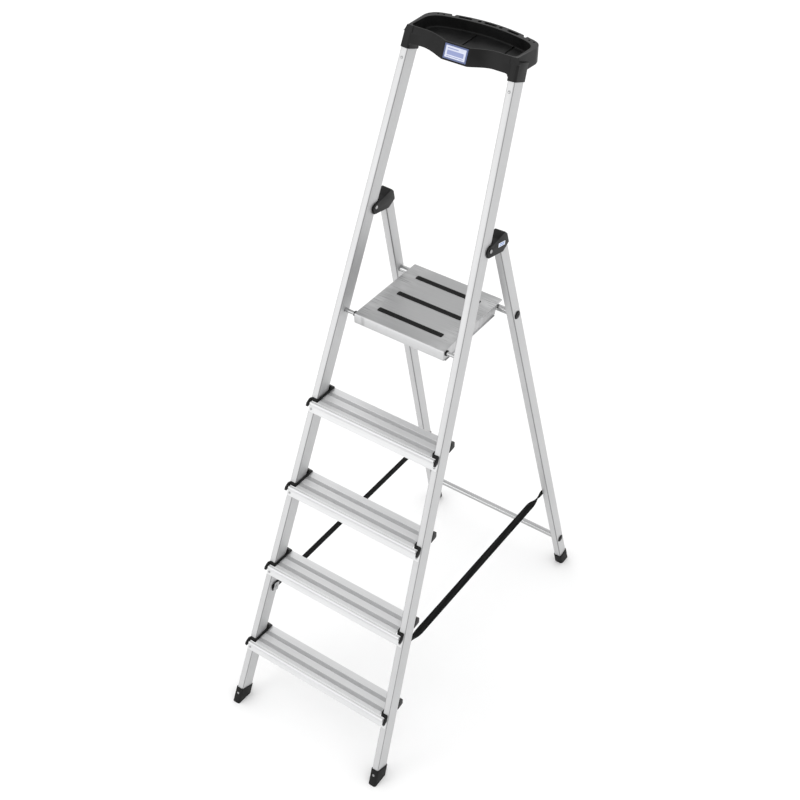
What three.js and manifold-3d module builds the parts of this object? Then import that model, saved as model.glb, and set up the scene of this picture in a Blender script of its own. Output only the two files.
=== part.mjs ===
// Folding household step ladder: four treads and a tilting platform on a tapered front frame,
// a rear support frame hinged behind it, and a tool tray on top. Units are millimetres, +Z is up,
// +X is to the right of a person facing the treads, and the rear legs stand towards +Y.
import * as THREE from 'three';
import { mergeVertices } from 'three/addons/utils/BufferGeometryUtils.js';
import Module from 'manifold-3d';

const wasm = await Module();
wasm.setup();

// ---- Driving dimensions ----
const FRONT_LEAN = THREE.MathUtils.degToRad(20.9);
const REAR_LEAN = THREE.MathUtils.degToRad(15.75);
const REAR_LEG_Y = 917.6;
const HALF_WIDTH = 218.2;
const TAPER = 0.0537;
const GAP = 0.3;
// Clearance of a hole that a level rod passes through in a splayed tube.
const LEVEL_ROD_GAP = 1;

const STILE = { width: 17, depth: 41, wall: 1.6, radius: 3 };
const LEG = { width: 19.4, depth: 30, wall: 1.6, radius: 3 };
const STILE_START = 24;
const STILE_TOP = 1648;

const TREAD_COUNT = 4;
const TREAD_PITCH = 215;
const FIRST_TREAD = 190;
const PLATFORM_Z = FIRST_TREAD + TREAD_COUNT * TREAD_PITCH;
const TREAD_REAR = 62.8;
const LIP_DROP = 30.6;
const LIP_THICK = 2.4;

const PIN = { z: 1271, inset: 6.5, radius: 4 };
const AXLE = { y: 422.5, z: 1043, radius: 4.5 };
const BAR_RADIUS = 8;
const REST_BAR_Z = 1035.5;
const CROSSBAR_Z = 113.5;
const STRAP = { z: 329, width: 20, thick: 1.6, gap: 1.5, plateGap: 1.2, hole: 2.4 };
const TRAY = {
  rim: 1662, height: 33, wall: 2.6, halfWidth: 138, front: 633, panel: 620, rear: 754, ledge: 19,
  apron: 4.5, skirt: 7, skirtWidth: 9, skirtFront: 655, frontInset: 4.5, panelHalf: 31,
  droop: 7, bowlHalf: 128, upperCorner: 12, lowerCorner: 38, cornerShelf: 8,
};
const PLATFORM = { halfWidth: 123, front: 413.5, rear: 657, sheet: 2.5, lip: 26 };
const SHOE_WALL = 2;

const SIDES = [
  { name: 'left', sign: -1 },
  { name: 'right', sign: 1 },
];

// ---- Materials ----
const material = (color, roughness, metalness) =>
  new THREE.MeshStandardMaterial({ color, roughness, metalness });
const aluminium = material(0xd4d5d6, 0.38, 0.9);
const deckAluminium = material(0xb4b5b7, 0.42, 0.9);
const steel = material(0xc2c4c8, 0.25, 1);
const blackPlastic = material(0x222325, 0.55, 0);
const blackRubber = material(0x2b2b2c, 0.85, 0);
const webbing = material(0x161617, 0.9, 0);
const labelPrint = material(0xc3cbe6, 0.5, 0);

// ---- Solid modelling helpers ----
function toSolid(geometry) {
  const bare = geometry.index ? geometry.toNonIndexed() : geometry.clone();
  bare.deleteAttribute('normal');
  bare.deleteAttribute('uv');
  const merged = mergeVertices(bare, 1e-4);
  return new wasm.Manifold(new wasm.Mesh({
    numProp: 3,
    vertProperties: new Float32Array(merged.attributes.position.array),
    triVerts: new Uint32Array(merged.index.array),
  }));
}

function toGeometry(solid) {
  const { vertProperties, triVerts, numProp } = solid.getMesh();
  const points = new Float32Array(triVerts.length * 3);
  triVerts.forEach((vertex, i) => {
    points.set(vertProperties.subarray(vertex * numProp, vertex * numProp + 3), i * 3);
  });
  const geometry = new THREE.BufferGeometry();
  geometry.setAttribute('position', new THREE.BufferAttribute(points, 3));
  geometry.computeVertexNormals();
  return geometry;
}

function cut(geometry, ...tools) {
  return toGeometry(tools.reduce((solid, tool) => solid.subtract(toSolid(tool)), toSolid(geometry)));
}

function join(geometry, ...others) {
  return toGeometry(others.reduce((solid, other) => solid.add(toSolid(other)), toSolid(geometry)));
}

function box(x0, x1, y0, y1, z0, z1) {
  return new THREE.BoxGeometry(x1 - x0, y1 - y0, z1 - z0)
    .translate((x0 + x1) / 2, (y0 + y1) / 2, (z0 + z1) / 2);
}

// A cylinder through (x, y, z), centred there, along one axis.
function rod(axis, radius, length, x, y, z, segments = 16) {
  const geometry = new THREE.CylinderGeometry(radius, radius, length, segments);
  if (axis === 'x') geometry.rotateZ(Math.PI / 2);
  if (axis === 'z') geometry.rotateX(Math.PI / 2);
  return geometry.translate(x, y, z);
}

// A shallow dome whose flat side faces along -axis at (x, y, z).
function dome(axis, sign, radius, height, x, y, z, segments = 12) {
  const profile = [new THREE.Vector2(0, 0), new THREE.Vector2(radius, 0)];
  const steps = 3;
  for (let i = 1; i < steps; i += 1) {
    const angle = (i / steps) * Math.PI / 2;
    profile.push(new THREE.Vector2(radius * Math.cos(angle), height * Math.sin(angle)));
  }
  profile.push(new THREE.Vector2(0, height));
  const geometry = new THREE.LatheGeometry(profile, segments);
  if (axis === 'x') geometry.rotateZ(-sign * Math.PI / 2);
  if (axis === 'y') geometry.rotateX(sign > 0 ? 0 : Math.PI);
  return geometry.translate(x, y, z);
}

function extrude(shape, depth, curveSegments = 6) {
  return new THREE.ExtrudeGeometry(shape, { depth, bevelEnabled: false, curveSegments });
}

function polygon(points) {
  return new THREE.Shape(points.map(([x, y]) => new THREE.Vector2(x, y)));
}

// Extrudes an outline drawn in (y, z) along X, centred on x = 0.
function extrudeAcross(shape, width, curveSegments = 6) {
  const turn = new THREE.Matrix4().makeBasis(
    new THREE.Vector3(0, 1, 0), new THREE.Vector3(0, 0, 1), new THREE.Vector3(1, 0, 0));
  return extrude(shape, width, curveSegments).translate(0, 0, -width / 2).applyMatrix4(turn);
}

// A rounded rectangle centred on x = 0, with its front face on y = -grow.
function tubeOutline({ width, depth, radius }, grow, Outline = THREE.Shape) {
  const x = width / 2 + grow;
  const y0 = -grow;
  const y1 = depth + grow;
  const r = Math.max(radius + grow, 0.6);
  const outline = new Outline();
  outline.moveTo(x, y1 - r);
  outline.absarc(x - r, y1 - r, r, 0, Math.PI / 2);
  outline.absarc(-x + r, y1 - r, r, Math.PI / 2, Math.PI);
  outline.absarc(-x + r, y0 + r, r, Math.PI, Math.PI * 1.5);
  outline.absarc(x - r, y0 + r, r, Math.PI * 1.5, Math.PI * 2);
  outline.closePath();
  return outline;
}

function tubeBar(section, start, end) {
  const shape = tubeOutline(section, 0);
  shape.holes.push(tubeOutline(section, -section.wall, THREE.Path));
  return extrude(shape, end - start, 3).translate(0, 0, start);
}

// ---- The two leaning frames, and a splayed group for each of their sides ----
const ladder = new THREE.Group();

function leaningFrame(lean, y) {
  const frame = new THREE.Group();
  frame.position.y = y;
  frame.rotation.x = lean;
  ladder.add(frame);
  const splay = Math.atan(TAPER * Math.cos(lean));
  const sides = {};
  for (const { name, sign } of SIDES) {
    const group = new THREE.Group();
    group.position.x = sign * HALF_WIDTH;
    group.rotation.y = -sign * splay;
    frame.add(group);
    sides[name] = group;
  }
  return { frame, sides, splay, lean };
}

const front = leaningFrame(-FRONT_LEAN, 0);
const rear = leaningFrame(REAR_LEAN, REAR_LEG_Y);
ladder.updateMatrixWorld(true);

// Distance along a frame's side at which depth y in the tube stands at height z.
function along(frame, z, y = 0) {
  return (z - y * Math.sin(frame.lean)) / Math.cos(frame.lean) / Math.cos(frame.splay);
}

// Depth coordinate of a point of a frame's side, in the ladder's own axes.
function depthOf(frame, z, y) {
  const s = along(frame, z, y) * Math.cos(frame.splay);
  return frame.frame.position.y + y * Math.cos(frame.lean) - s * Math.sin(frame.lean);
}

const centreAt = (z) => HALF_WIDTH - TAPER * z;
const stileFaceAt = (z) => z * Math.tan(FRONT_LEAN);

function add(parent, name, geometry, finish) {
  const mesh = new THREE.Mesh(geometry, finish);
  mesh.name = name;
  parent.add(mesh);
  return mesh;
}

// A box that covers everything below the floor, in a group's own axes.
function belowFloor(group) {
  const inverse = group.matrixWorld.clone().invert();
  return box(-600, 600, -600, 1600, -400, 0).applyMatrix4(inverse);
}

const treadHeights = Array.from({ length: TREAD_COUNT }, (_, i) => FIRST_TREAD + i * TREAD_PITCH);
const RIVET = { shank: 1.7, hole: 2, head: 3.2, height: 1 };
const TREAD_RIVET_DROP = 23.5;
const TRAY_RIVET_Z = 1597;
const SCREW_Z = 28;

// ---- Front stiles ----
const stilePinY = STILE.depth - PIN.inset;

// Hole for a rivet or screw through a tube's front wall.
function rivetHole(length, s) {
  return rod('y', RIVET.hole, length, 0, 0, s, 8);
}

function stile(side) {
  const top = along(front, STILE_TOP);
  const holes = treadHeights.map((z) =>
    rivetHole(8, along(front, z - TREAD_RIVET_DROP)));
  holes.push(rivetHole(8, along(front, TRAY_RIVET_Z)));
  holes.push(rivetHole(8, along(front, SCREW_Z)));
  holes.push(rod('x', PIN.radius + LEVEL_ROD_GAP, 40, 0, stilePinY, along(front, PIN.z, stilePinY)));
  const innerFace = -side.sign * STILE.width / 2;
  holes.push(rod('x', AXLE.radius + LEVEL_ROD_GAP, 10, innerFace, axleInStile.y, axleInStile.s));
  holes.push(rod('x', STRAP.hole, 10, innerFace, strapFront.y, strapFront.s, 8));
  return cut(tubeBar(STILE, STILE_START, top), ...holes);
}

// A point given in ladder axes, as depth and distance along a frame's side.
function inFrame(frame, y, z) {
  const dy = y - frame.frame.position.y;
  const depth = dy * Math.cos(frame.lean) + z * Math.sin(frame.lean);
  const s = -dy * Math.sin(frame.lean) + z * Math.cos(frame.lean);
  return { y: depth, s: s / Math.cos(frame.splay) };
}

const axleInStile = inFrame(front, AXLE.y, AXLE.z);
const strapFront = { y: 26, s: along(front, STRAP.z, 26) };
const strapRear = { y: 13, s: along(rear, STRAP.z + 5, 13) };

for (const side of SIDES) {
  add(front.sides[side.name], `front_stile_${side.name}`, stile(side), aluminium);
}

// ---- Treads ----
const BEAD = { y: -12.5, z: -2.6, radius: 3.1 };
const LIP_TOP = 12;
const CAP_STRIP = 4.7;
const DECK_THICK = 2;
const GROOVES = [[4.5, 15.5], [33, 44]];
const GROOVE_DEPTH = 0.8;

// Outer (offset LIP_THICK) or inner (offset 0) face of the lip, which lies flat on the stiles.
const lipFace = (z, offset) => z * Math.tan(FRONT_LEAN) - (GAP + offset) / Math.cos(FRONT_LEAN);

function treadProfile() {
  const p = new THREE.Shape();
  p.moveTo(TREAD_REAR, 0);
  for (const [y0, y1] of [...GROOVES].reverse()) {
    p.lineTo(y1, 0);
    p.lineTo(y1, -GROOVE_DEPTH);
    p.lineTo(y0, -GROOVE_DEPTH);
    p.lineTo(y0, 0);
  }
  p.lineTo(BEAD.y + BEAD.radius, 0);
  p.absarc(BEAD.y, BEAD.z, BEAD.radius, Math.PI / 3, Math.PI, false);
  p.lineTo(BEAD.y - BEAD.radius + 1, -LIP_TOP + 2);
  p.lineTo(lipFace(-LIP_TOP, LIP_THICK), -LIP_TOP);
  p.lineTo(lipFace(-LIP_DROP, LIP_THICK), -LIP_DROP);
  p.lineTo(lipFace(-LIP_DROP, 0), -LIP_DROP);
  p.lineTo(lipFace(-LIP_TOP + 1, 0), -LIP_TOP + 1);
  p.lineTo(-9, -LIP_TOP + 3);
  p.lineTo(-10, -DECK_THICK - 2);
  p.lineTo(-7, -DECK_THICK);
  p.lineTo(22.5, -DECK_THICK);
  p.lineTo(22.5, -LIP_TOP);
  p.lineTo(25, -LIP_TOP);
  p.lineTo(25, -DECK_THICK);
  p.lineTo(TREAD_REAR - 2.2, -DECK_THICK);
  p.lineTo(TREAD_REAR - 2.2, -20);
  p.lineTo(TREAD_REAR, -20);
  p.closePath();
  return p;
}

// The deck runs between the end caps, the nose up to their outer walls and the lip to the stiles' edges.
function tread(height) {
  const centre = centreAt(height);
  const deckEnd = centre - STILE.width / 2 - CAP_STRIP - 2;
  const noseEnd = centre + 1;
  const lipEnd = centre + STILE.width / 2 - 0.6;
  const blank = extrudeAcross(treadProfile(), 2 * lipEnd, 5);
  const tools = [];
  for (const { sign } of SIDES) {
    const end = (x) => [sign * x, sign * (lipEnd + 5)].sort((a, b) => a - b);
    tools.push(box(...end(deckEnd), -6.4, 80, -LIP_TOP + 0.5, 5));
    tools.push(box(...end(deckEnd), -3, 80, -40, -LIP_TOP + 0.6));
    tools.push(box(...end(noseEnd), -30, -6.3, -LIP_TOP + 0.5, 5));
    tools.push(rod('y', RIVET.hole + GAP, 20, 0, 0, 0, 8).rotateX(-FRONT_LEAN).translate(
      sign * centreAt(height - TREAD_RIVET_DROP), stileFaceAt(-TREAD_RIVET_DROP), -TREAD_RIVET_DROP));
  }
  return cut(blank, ...tools);
}

// Black trim round a stile at a tread's end: a strip on the inner face with a lobe behind the stile,
// a strip across the front face, and a wall that closes the end of the tread's nose.
function treadCap(sign) {
  const half = STILE.width / 2;
  const inner = -sign * half;
  const face = (z) => lipFace(z, 0.1);
  const back = (z) => z * Math.tan(FRONT_LEAN) + (STILE.depth + 2 * GAP) / Math.cos(FRONT_LEAN);
  const stripOutline = new THREE.Shape();
  stripOutline.moveTo(face(-5) - 3.8, -5);
  stripOutline.lineTo(8, -14);
  stripOutline.lineTo(TREAD_REAR - 12, -16);
  stripOutline.absarc(TREAD_REAR - 7, -2, 9, -Math.PI / 3, Math.PI / 2, false);
  stripOutline.lineTo(TREAD_REAR - 16, 4.5);
  stripOutline.lineTo(face(4.5) - 4, 4.5);
  stripOutline.closePath();
  const x0 = inner - sign * (0.5 + CAP_STRIP);
  const x1 = inner - sign * 0.5;
  const strip = extrudeAcross(stripOutline, CAP_STRIP, 6).translate((x0 + x1) / 2, 0, 0);
  const cross = extrudeAcross(polygon([
    [face(-5) - 3.8, -5], [face(-5), -5], [face(4.5), 4.5], [face(4.5) - 4.4, 4.5],
  ]), 2 * half + 2).translate(-sign * 1.5, 0, 0);
  const wall = extrudeAcross(polygon([
    [BEAD.y - 3.6, -LIP_TOP + 1.5], [face(-LIP_TOP + 1.5), -LIP_TOP + 1.5], [face(4.5), 4.5],
    [BEAD.y - 1, 1.2], [BEAD.y - 3.6, -2],
  ]), 6).translate(sign * (half - 2.6), 0, 0);
  const lobe = new THREE.Shape();
  lobe.moveTo(back(-13), -13);
  lobe.absarc(TREAD_REAR - 6, -3, 6.5, -Math.PI / 4, Math.PI / 2.4, false);
  lobe.lineTo(back(14), 14);
  lobe.closePath();
  const behind = extrudeAcross(lobe, 2 * half + 5).translate(-sign * 2.7, 0, 0);
  return join(strip, cross, wall, behind);
}

// Blind rivet whose head lies on a face that looks towards -Y.
function faceRivet(thickness, shank) {
  const head = dome('y', -1, RIVET.head, RIVET.height, 0, -thickness - GAP, 0, 10);
  return join(head, rod('y', RIVET.shank, shank, 0, shank / 2 - thickness - GAP - 0.2, 0, 8));
}

treadHeights.forEach((z, i) => {
  const group = new THREE.Group();
  group.position.set(0, stileFaceAt(z), z);
  ladder.add(group);
  const label = `tread_${i + 1}`;
  add(group, label, tread(z), aluminium);
  for (const side of SIDES) {
    const stileGroup = front.sides[side.name];
    const cap = add(stileGroup, `${label}_end_cap_${side.name}`, treadCap(side.sign), blackPlastic);
    cap.position.z = along(front, z);
    cap.rotation.x = FRONT_LEAN;
    const rivet = add(stileGroup, `${label}_rivet_${side.name}`,
      faceRivet(LIP_THICK + GAP + 0.2, 8), steel);
    rivet.position.z = along(front, z - TREAD_RIVET_DROP);
  }
});

// ---- Tool tray ----
const panelDepth = (TRAY.panel - stileFaceAt(TRAY.rim)) * Math.cos(FRONT_LEAN);
const LABEL_Z = 1640.5;

// Plan outline of the tray at its rim, drawn inset by a distance from the outer skin.
function trayOutline(inset) {
  const x = TRAY.halfWidth - inset;
  const frontX = x - TRAY.frontInset;
  const frontY = TRAY.front + inset;
  const panelY = TRAY.panel + inset;
  const shoulder = TRAY.rear - 18 - inset;
  const rearY = TRAY.rear - inset;
  const corner = TRAY.rear - 54;
  const s = new THREE.Shape();
  s.moveTo(-frontX, frontY);
  s.lineTo(-88, frontY);
  s.quadraticCurveTo(-60, frontY, -TRAY.panelHalf, panelY);
  s.lineTo(TRAY.panelHalf, panelY);
  s.quadraticCurveTo(60, frontY, 88, frontY);
  s.lineTo(frontX, frontY);
  s.lineTo(x, corner);
  s.quadraticCurveTo(x - 1.5, shoulder - 7, 104, shoulder);
  s.quadraticCurveTo(0, 2 * rearY - shoulder, -104, shoulder);
  s.quadraticCurveTo(1.5 - x, shoulder - 7, -x, corner);
  s.closePath();
  return s;
}

// Plan outline of the bowl at its rim: rounded ends, and the ledge's width left behind it.
function bowlOutline(frontCorner, grow = 0) {
  const x = TRAY.bowlHalf + grow;
  const frontY = TRAY.front + TRAY.wall - grow;
  const panelY = TRAY.panel + TRAY.wall - grow;
  const rearY = TRAY.rear - TRAY.ledge + grow;
  const shoulder = rearY - 11;
  const corner = rearY - 51;
  const s = new THREE.Shape();
  s.moveTo(frontCorner - x, frontY);
  s.lineTo(-88, frontY);
  s.quadraticCurveTo(-60, frontY, -TRAY.panelHalf, panelY);
  s.lineTo(TRAY.panelHalf, panelY);
  s.quadraticCurveTo(60, frontY, 88, frontY);
  s.lineTo(x - frontCorner, frontY);
  s.quadraticCurveTo(x, frontY, x, frontY + frontCorner);
  s.lineTo(x, corner);
  s.quadraticCurveTo(x, shoulder - 8, 84, shoulder);
  s.quadraticCurveTo(0, 2 * rearY - shoulder, -84, shoulder);
  s.quadraticCurveTo(-x, shoulder - 8, -x, corner);
  s.lineTo(-x, frontY + frontCorner);
  s.quadraticCurveTo(-x, frontY, frontCorner - x, frontY);
  s.closePath();
  return s;
}

// Leans the front wall forward, parallel to the stiles, and leaves the rear wall upright.
function leanFrontWall(geometry) {
  const { position } = geometry.attributes;
  for (let i = 0; i < position.count; i += 1) {
    const y = position.getY(i);
    const share = THREE.MathUtils.clamp((690 - y) / 50, 0, 1);
    position.setY(i, y + share * (position.getZ(i) - TRAY.rim) * Math.tan(FRONT_LEAN));
  }
  return geometry;
}

// Lets the rim fall from the front wall to the rear edge, over a level underside.
function dropRear(geometry) {
  const { position } = geometry.attributes;
  const base = TRAY.rim - TRAY.height;
  for (let i = 0; i < position.count; i += 1) {
    const share = THREE.MathUtils.clamp((position.getY(i) - TRAY.front) / (TRAY.rear - TRAY.front), 0, 1);
    const lift = Math.max(0, (position.getZ(i) - base) / TRAY.height);
    position.setZ(i, position.getZ(i) - share * lift * TRAY.droop);
  }
  return geometry;
}

function trayRimOpenings() {
  const edge = (x) => TRAY.rear - 9 - 18 * (x / 104) ** 2;
  const tools = [];
  const z = TRAY.rim - TRAY.height / 2;
  const through = TRAY.height + 20;
  tools.push(box(-15, 15, edge(0) - 4, edge(0) + 4, z - through / 2, z + through / 2));
  for (const { sign } of SIDES) {
    tools.push(rod('z', 4, through, sign * 26, edge(26), z, 12));
    const slot = box(-15, 15, -4, 4, z - through / 2, z + through / 2);
    tools.push(slot.rotateZ(-sign * 0.19).translate(sign * 59, edge(59), 0));
    tools.push(box(sign * 88 - 4.5, sign * 88 + 4.5, edge(88) + 1, edge(88) + 20,
      TRAY.rim - 14, TRAY.rim + 5));
    tools.push(rod('z', 2.6, through, sign * 105, edge(101), z, 12));
    tools.push(rod('z', 2.6, through, sign * 118, edge(118) + 2, z, 12));
  }
  return tools;
}

// Bowl of the tray: its lower part is rounder at the front corners, which leaves a low shelf there.
function trayBowl() {
  const lower = extrude(bowlOutline(TRAY.lowerCorner), TRAY.height, 8)
    .translate(0, 0, TRAY.rim - TRAY.height + TRAY.wall);
  const upper = extrude(bowlOutline(TRAY.upperCorner), TRAY.height, 8)
    .translate(0, 0, TRAY.rim - TRAY.cornerShelf);
  return [leanFrontWall(lower), leanFrontWall(upper)];
}

// Space under the rear ledge, between the bowl's rear wall and the outer skin, open below.
function trayLedgeHollow() {
  const depth = TRAY.height - TRAY.wall;
  const inside = extrude(trayOutline(TRAY.wall), depth + 10, 8);
  const bowlWall = extrude(bowlOutline(TRAY.lowerCorner, TRAY.wall), depth + 10, 8);
  const ahead = box(-200, 200, 500, TRAY.rear - 52, -5, depth + 20);
  return cut(inside, bowlWall, ahead).translate(0, 0, TRAY.rim - TRAY.height - 10);
}

// Socket that closes over a stile's top end, with a spigot inside the tube for its rivet.
function traySocket(side) {
  const matrix = front.sides[side.name].matrixWorld;
  const grow = SHOE_WALL + GAP;
  const bottom = along(front, 1617);
  const ceiling = along(front, STILE_TOP) + GAP;
  const block = extrude(tubeOutline(STILE, grow), ceiling + 6 - bottom, 3).translate(0, 0, bottom);
  const pocket = extrude(tubeOutline(STILE, GAP), ceiling - bottom + 20, 3).translate(0, 0, bottom - 20);
  const inside = STILE.wall + GAP + 0.3;
  const spigotStart = along(front, TRAY_RIVET_Z) - 14;
  const spigot = extrude(tubeOutline(STILE, -inside), ceiling + 3 - spigotStart, 3)
    .translate(0, 0, spigotStart);
  const hole = rivetHole(30, along(front, TRAY_RIVET_Z));
  return {
    shell: block.applyMatrix4(matrix),
    pocket: pocket.applyMatrix4(matrix),
    spigot: cut(spigot, hole).applyMatrix4(matrix),
  };
}

// Deeper side walls behind the sockets, and the deeper middle of the front wall that carries the label.
function trayAprons() {
  const base = TRAY.rim - TRAY.height;
  const ends = extrude(trayOutline(0), TRAY.skirt + 1, 8).translate(0, 0, base - TRAY.skirt);
  const between = TRAY.halfWidth - TRAY.skirtWidth;
  const skirt = cut(ends, box(-between, between, 500, 900, base - 50, base + 50),
    box(-200, 200, 500, TRAY.skirtFront, base - 50, base + 50));
  const panel = box(-TRAY.panelHalf, TRAY.panelHalf, panelDepth, panelDepth + TRAY.wall,
    along(front, base - TRAY.apron, panelDepth), along(front, base + 2, panelDepth));
  return [skirt, panel.applyMatrix4(front.frame.matrixWorld)];
}

function tray() {
  const block = extrude(trayOutline(0), TRAY.height, 8).translate(0, 0, TRAY.rim - TRAY.height);
  const body = leanFrontWall(block);
  let shell = dropRear(cut(body, ...trayBowl(), trayLedgeHollow(), ...trayRimOpenings()));
  const sockets = SIDES.map(traySocket);
  shell = join(shell, ...trayAprons(), ...sockets.map((s) => s.shell));
  shell = cut(shell, ...sockets.map((s) => s.pocket));
  return join(shell, ...sockets.map((s) => s.spigot));
}

add(ladder, 'tool_tray', tray(), blackPlastic);
const trayLabel = add(front.frame, 'tray_label', box(-28, 28, -1, 0, -15.4, 15.4), labelPrint);
const labelDepth = panelDepth - GAP;
trayLabel.position.set(0, labelDepth, along(front, LABEL_Z, labelDepth));
for (const side of SIDES) {
  const rivet = add(front.sides[side.name], `tray_rivet_${side.name}`, faceRivet(0.2, 9), steel);
  rivet.position.z = along(front, TRAY_RIVET_Z);
}

// ---- Feet ----
// Slip-on shoe: a sleeve round the tube's end, cut level with the floor.
function shoe(group, section, tubeStart, top, screwAt) {
  const sleeve = extrude(tubeOutline(section, SHOE_WALL + GAP), top + 60, 3).translate(0, 0, -60);
  const pocket = extrude(tubeOutline(section, GAP), 200, 3).translate(0, 0, tubeStart - GAP);
  const tools = [pocket, belowFloor(group)];
  if (screwAt) tools.push(rivetHole(10, screwAt));
  return cut(sleeve, ...tools);
}

const SHOE_TOP_FRONT = 46;
const SHOE_TOP_REAR = 36;
const LEG_START = 12;
for (const side of SIDES) {
  const group = front.sides[side.name];
  const screwAt = along(front, SCREW_Z);
  const foot = shoe(group, STILE, STILE_START, SHOE_TOP_FRONT, screwAt);
  add(group, `front_foot_${side.name}`, foot, blackRubber);
  const screw = add(group, `front_foot_screw_${side.name}`, faceRivet(SHOE_WALL + 2 * GAP, 8), steel);
  screw.position.z = screwAt;
}

// ---- Rear legs, their hinge housings and bars ----
const pinY = depthOf(front, PIN.z, stilePinY);
const pinInLeg = inFrame(rear, pinY, PIN.z);
const LEG_TOP = pinInLeg.s - 8;
const legMiddle = LEG.depth / 2;
const BARS = [
  { name: 'platform_rest_bar', cap: 'rest_bar_cap', z: REST_BAR_Z },
  { name: 'rear_crossbar', cap: 'crossbar_cap', z: CROSSBAR_Z },
];

for (const side of SIDES) {
  const group = rear.sides[side.name];
  const holes = BARS.map(({ z }) =>
    rod('x', BAR_RADIUS + LEVEL_ROD_GAP, 60, 0, legMiddle, along(rear, z, legMiddle), 18));
  holes.push(rod('x', STRAP.hole, 10, -side.sign * LEG.width / 2, strapRear.y, strapRear.s, 8));
  add(group, `rear_leg_${side.name}`, cut(tubeBar(LEG, LEG_START, LEG_TOP), ...holes), aluminium);
  add(group, `rear_foot_${side.name}`, shoe(group, LEG, LEG_START, SHOE_TOP_REAR), blackRubber);
}

// Clevis moulding on the leg's top end: two cheeks reach forward and straddle the stile on the pin.
const HOUSING = { width: LEG.width + 7, lobe: 12.5 };

function hingeHousing() {
  const outline = new THREE.Shape();
  const lobeY = pinInLeg.y - 0.5;
  outline.moveTo(lobeY, -HOUSING.lobe);
  outline.lineTo(5, -39);
  outline.lineTo(LEG.depth + 2, -34);
  outline.lineTo(LEG.depth + 2, -11);
  outline.quadraticCurveTo(LEG.depth + 1, -3, LEG.depth - 6, 3);
  outline.lineTo(-2, 4.5);
  outline.lineTo(lobeY, HOUSING.lobe);
  outline.absarc(lobeY, 0, HOUSING.lobe, Math.PI * 0.5, Math.PI * 1.5, false);
  outline.closePath();
  const open = FRONT_LEAN + REAR_LEAN;
  const clearance = PIN.inset + 1.6;
  const slotBack = pinInLeg.y + clearance;
  const slotCorner = clearance * (1 - Math.cos(open)) / Math.tan(open) - clearance * Math.sin(open);
  const reach = 60;
  const slot = extrudeAcross(polygon([
    [-90, -80], [slotBack, -80], [slotBack, slotCorner],
    [slotBack + reach * Math.tan(open), slotCorner + reach], [-90, slotCorner + reach],
  ]), STILE.width + 2);
  const pocket = box(-LEG.width / 2 - GAP, LEG.width / 2 + GAP, -GAP, LEG.depth + GAP, -80, -8 + GAP);
  const pinHole = rod('x', PIN.radius + LEVEL_ROD_GAP, 60, 0, pinInLeg.y, 0);
  return cut(extrudeAcross(outline, HOUSING.width, 8), slot, pocket, pinHole);
}

for (const side of SIDES) {
  const housing = add(rear.sides[side.name], `hinge_housing_${side.name}`, hingeHousing(), blackPlastic);
  housing.position.z = pinInLeg.s;
  const span = HOUSING.width / 2 + GAP + 0.6;
  const pin = join(
    rod('x', PIN.radius, 2 * span + 0.4, 0, 0, 0),
    dome('x', 1, 5.4, 1.6, span, 0, 0), dome('x', -1, 5.4, 1.6, -span, 0, 0));
  const pinMesh = add(ladder, `hinge_pin_${side.name}`, pin, steel);
  pinMesh.position.set(side.sign * centreAt(PIN.z), pinY, PIN.z);
}

const hingeLabel = add(rear.sides.right, 'hinge_label', box(0, 0.4, -13, 13, -4.7, 4.7), labelPrint);
hingeLabel.position.set(HOUSING.width / 2 + GAP, 5, pinInLeg.s - 16);
hingeLabel.rotation.x = -0.46;

for (const { name, cap, z } of BARS) {
  const y = depthOf(rear, z, legMiddle);
  const half = centreAt(z) + LEG.width / 2 - 1;
  const bore = rod('x', BAR_RADIUS - 1.5, 2 * half + 10, 0, 0, 0, 18);
  const bar = add(ladder, name, cut(rod('x', BAR_RADIUS, 2 * half, 0, 0, 0, 18), bore), aluminium);
  bar.position.set(0, y, z);
  for (const side of SIDES) {
    const { sign } = side;
    const head = dome('x', sign, 10.5, 3.4, sign * 1.9, 0, 0, 18);
    const plug = rod('x', BAR_RADIUS - 1.5 - GAP, 14, -sign * 4.9, 0, 0, 18);
    const mesh = add(ladder, `${cap}_${side.name}`, join(head, plug), blackPlastic);
    mesh.position.set(sign * half, y, z);
  }
}

// ---- Platform ----
const GRIPS = [
  { name: 'front', y: 461 },
  { name: 'middle', y: 537.5 },
  { name: 'rear', y: 614 },
];
const GRIP = { half: 88, width: 13.5, corner: 3, depth: 1.2, proud: 0.9 };
const FLANGE_REAR = 625;

function platform() {
  const { halfWidth: x, front: y0, rear: y1, sheet: t, lip } = PLATFORM;
  const deck = box(-x, x, y0, y1, PLATFORM_Z - t, PLATFORM_Z);
  const frontLip = box(-x, x, y0, y0 + t, PLATFORM_Z - lip, PLATFORM_Z - t / 2);
  const flanges = SIDES.map(({ sign }) => box(
    Math.min(sign * x, sign * (x - t)), Math.max(sign * x, sign * (x - t)),
    y0, FLANGE_REAR, PLATFORM_Z - lip, PLATFORM_Z - t / 2));
  const barY = depthOf(rear, REST_BAR_Z, legMiddle);
  const bearing = box(-x + 8, x - 8, barY - 7, barY + 7,
    REST_BAR_Z + BAR_RADIUS + GAP, PLATFORM_Z - t / 2);
  const recesses = GRIPS.map(({ y }) => gripSolid(y, GRIP.depth + 5, GAP, PLATFORM_Z - GRIP.depth));
  const axleHole = rod('x', AXLE.radius + GAP, 400, 0, AXLE.y, AXLE.z);
  return cut(join(deck, frontLip, ...flanges, bearing), ...recesses, axleHole);
}

// Round-ended bar along X on the platform, its underside at the given height.
function gripSolid(y, height, grow, bottom) {
  const section = { width: 2 * GRIP.half, depth: GRIP.width, radius: GRIP.corner };
  return extrude(tubeOutline(section, grow), height, 4).translate(0, y - GRIP.width / 2, bottom);
}

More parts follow.
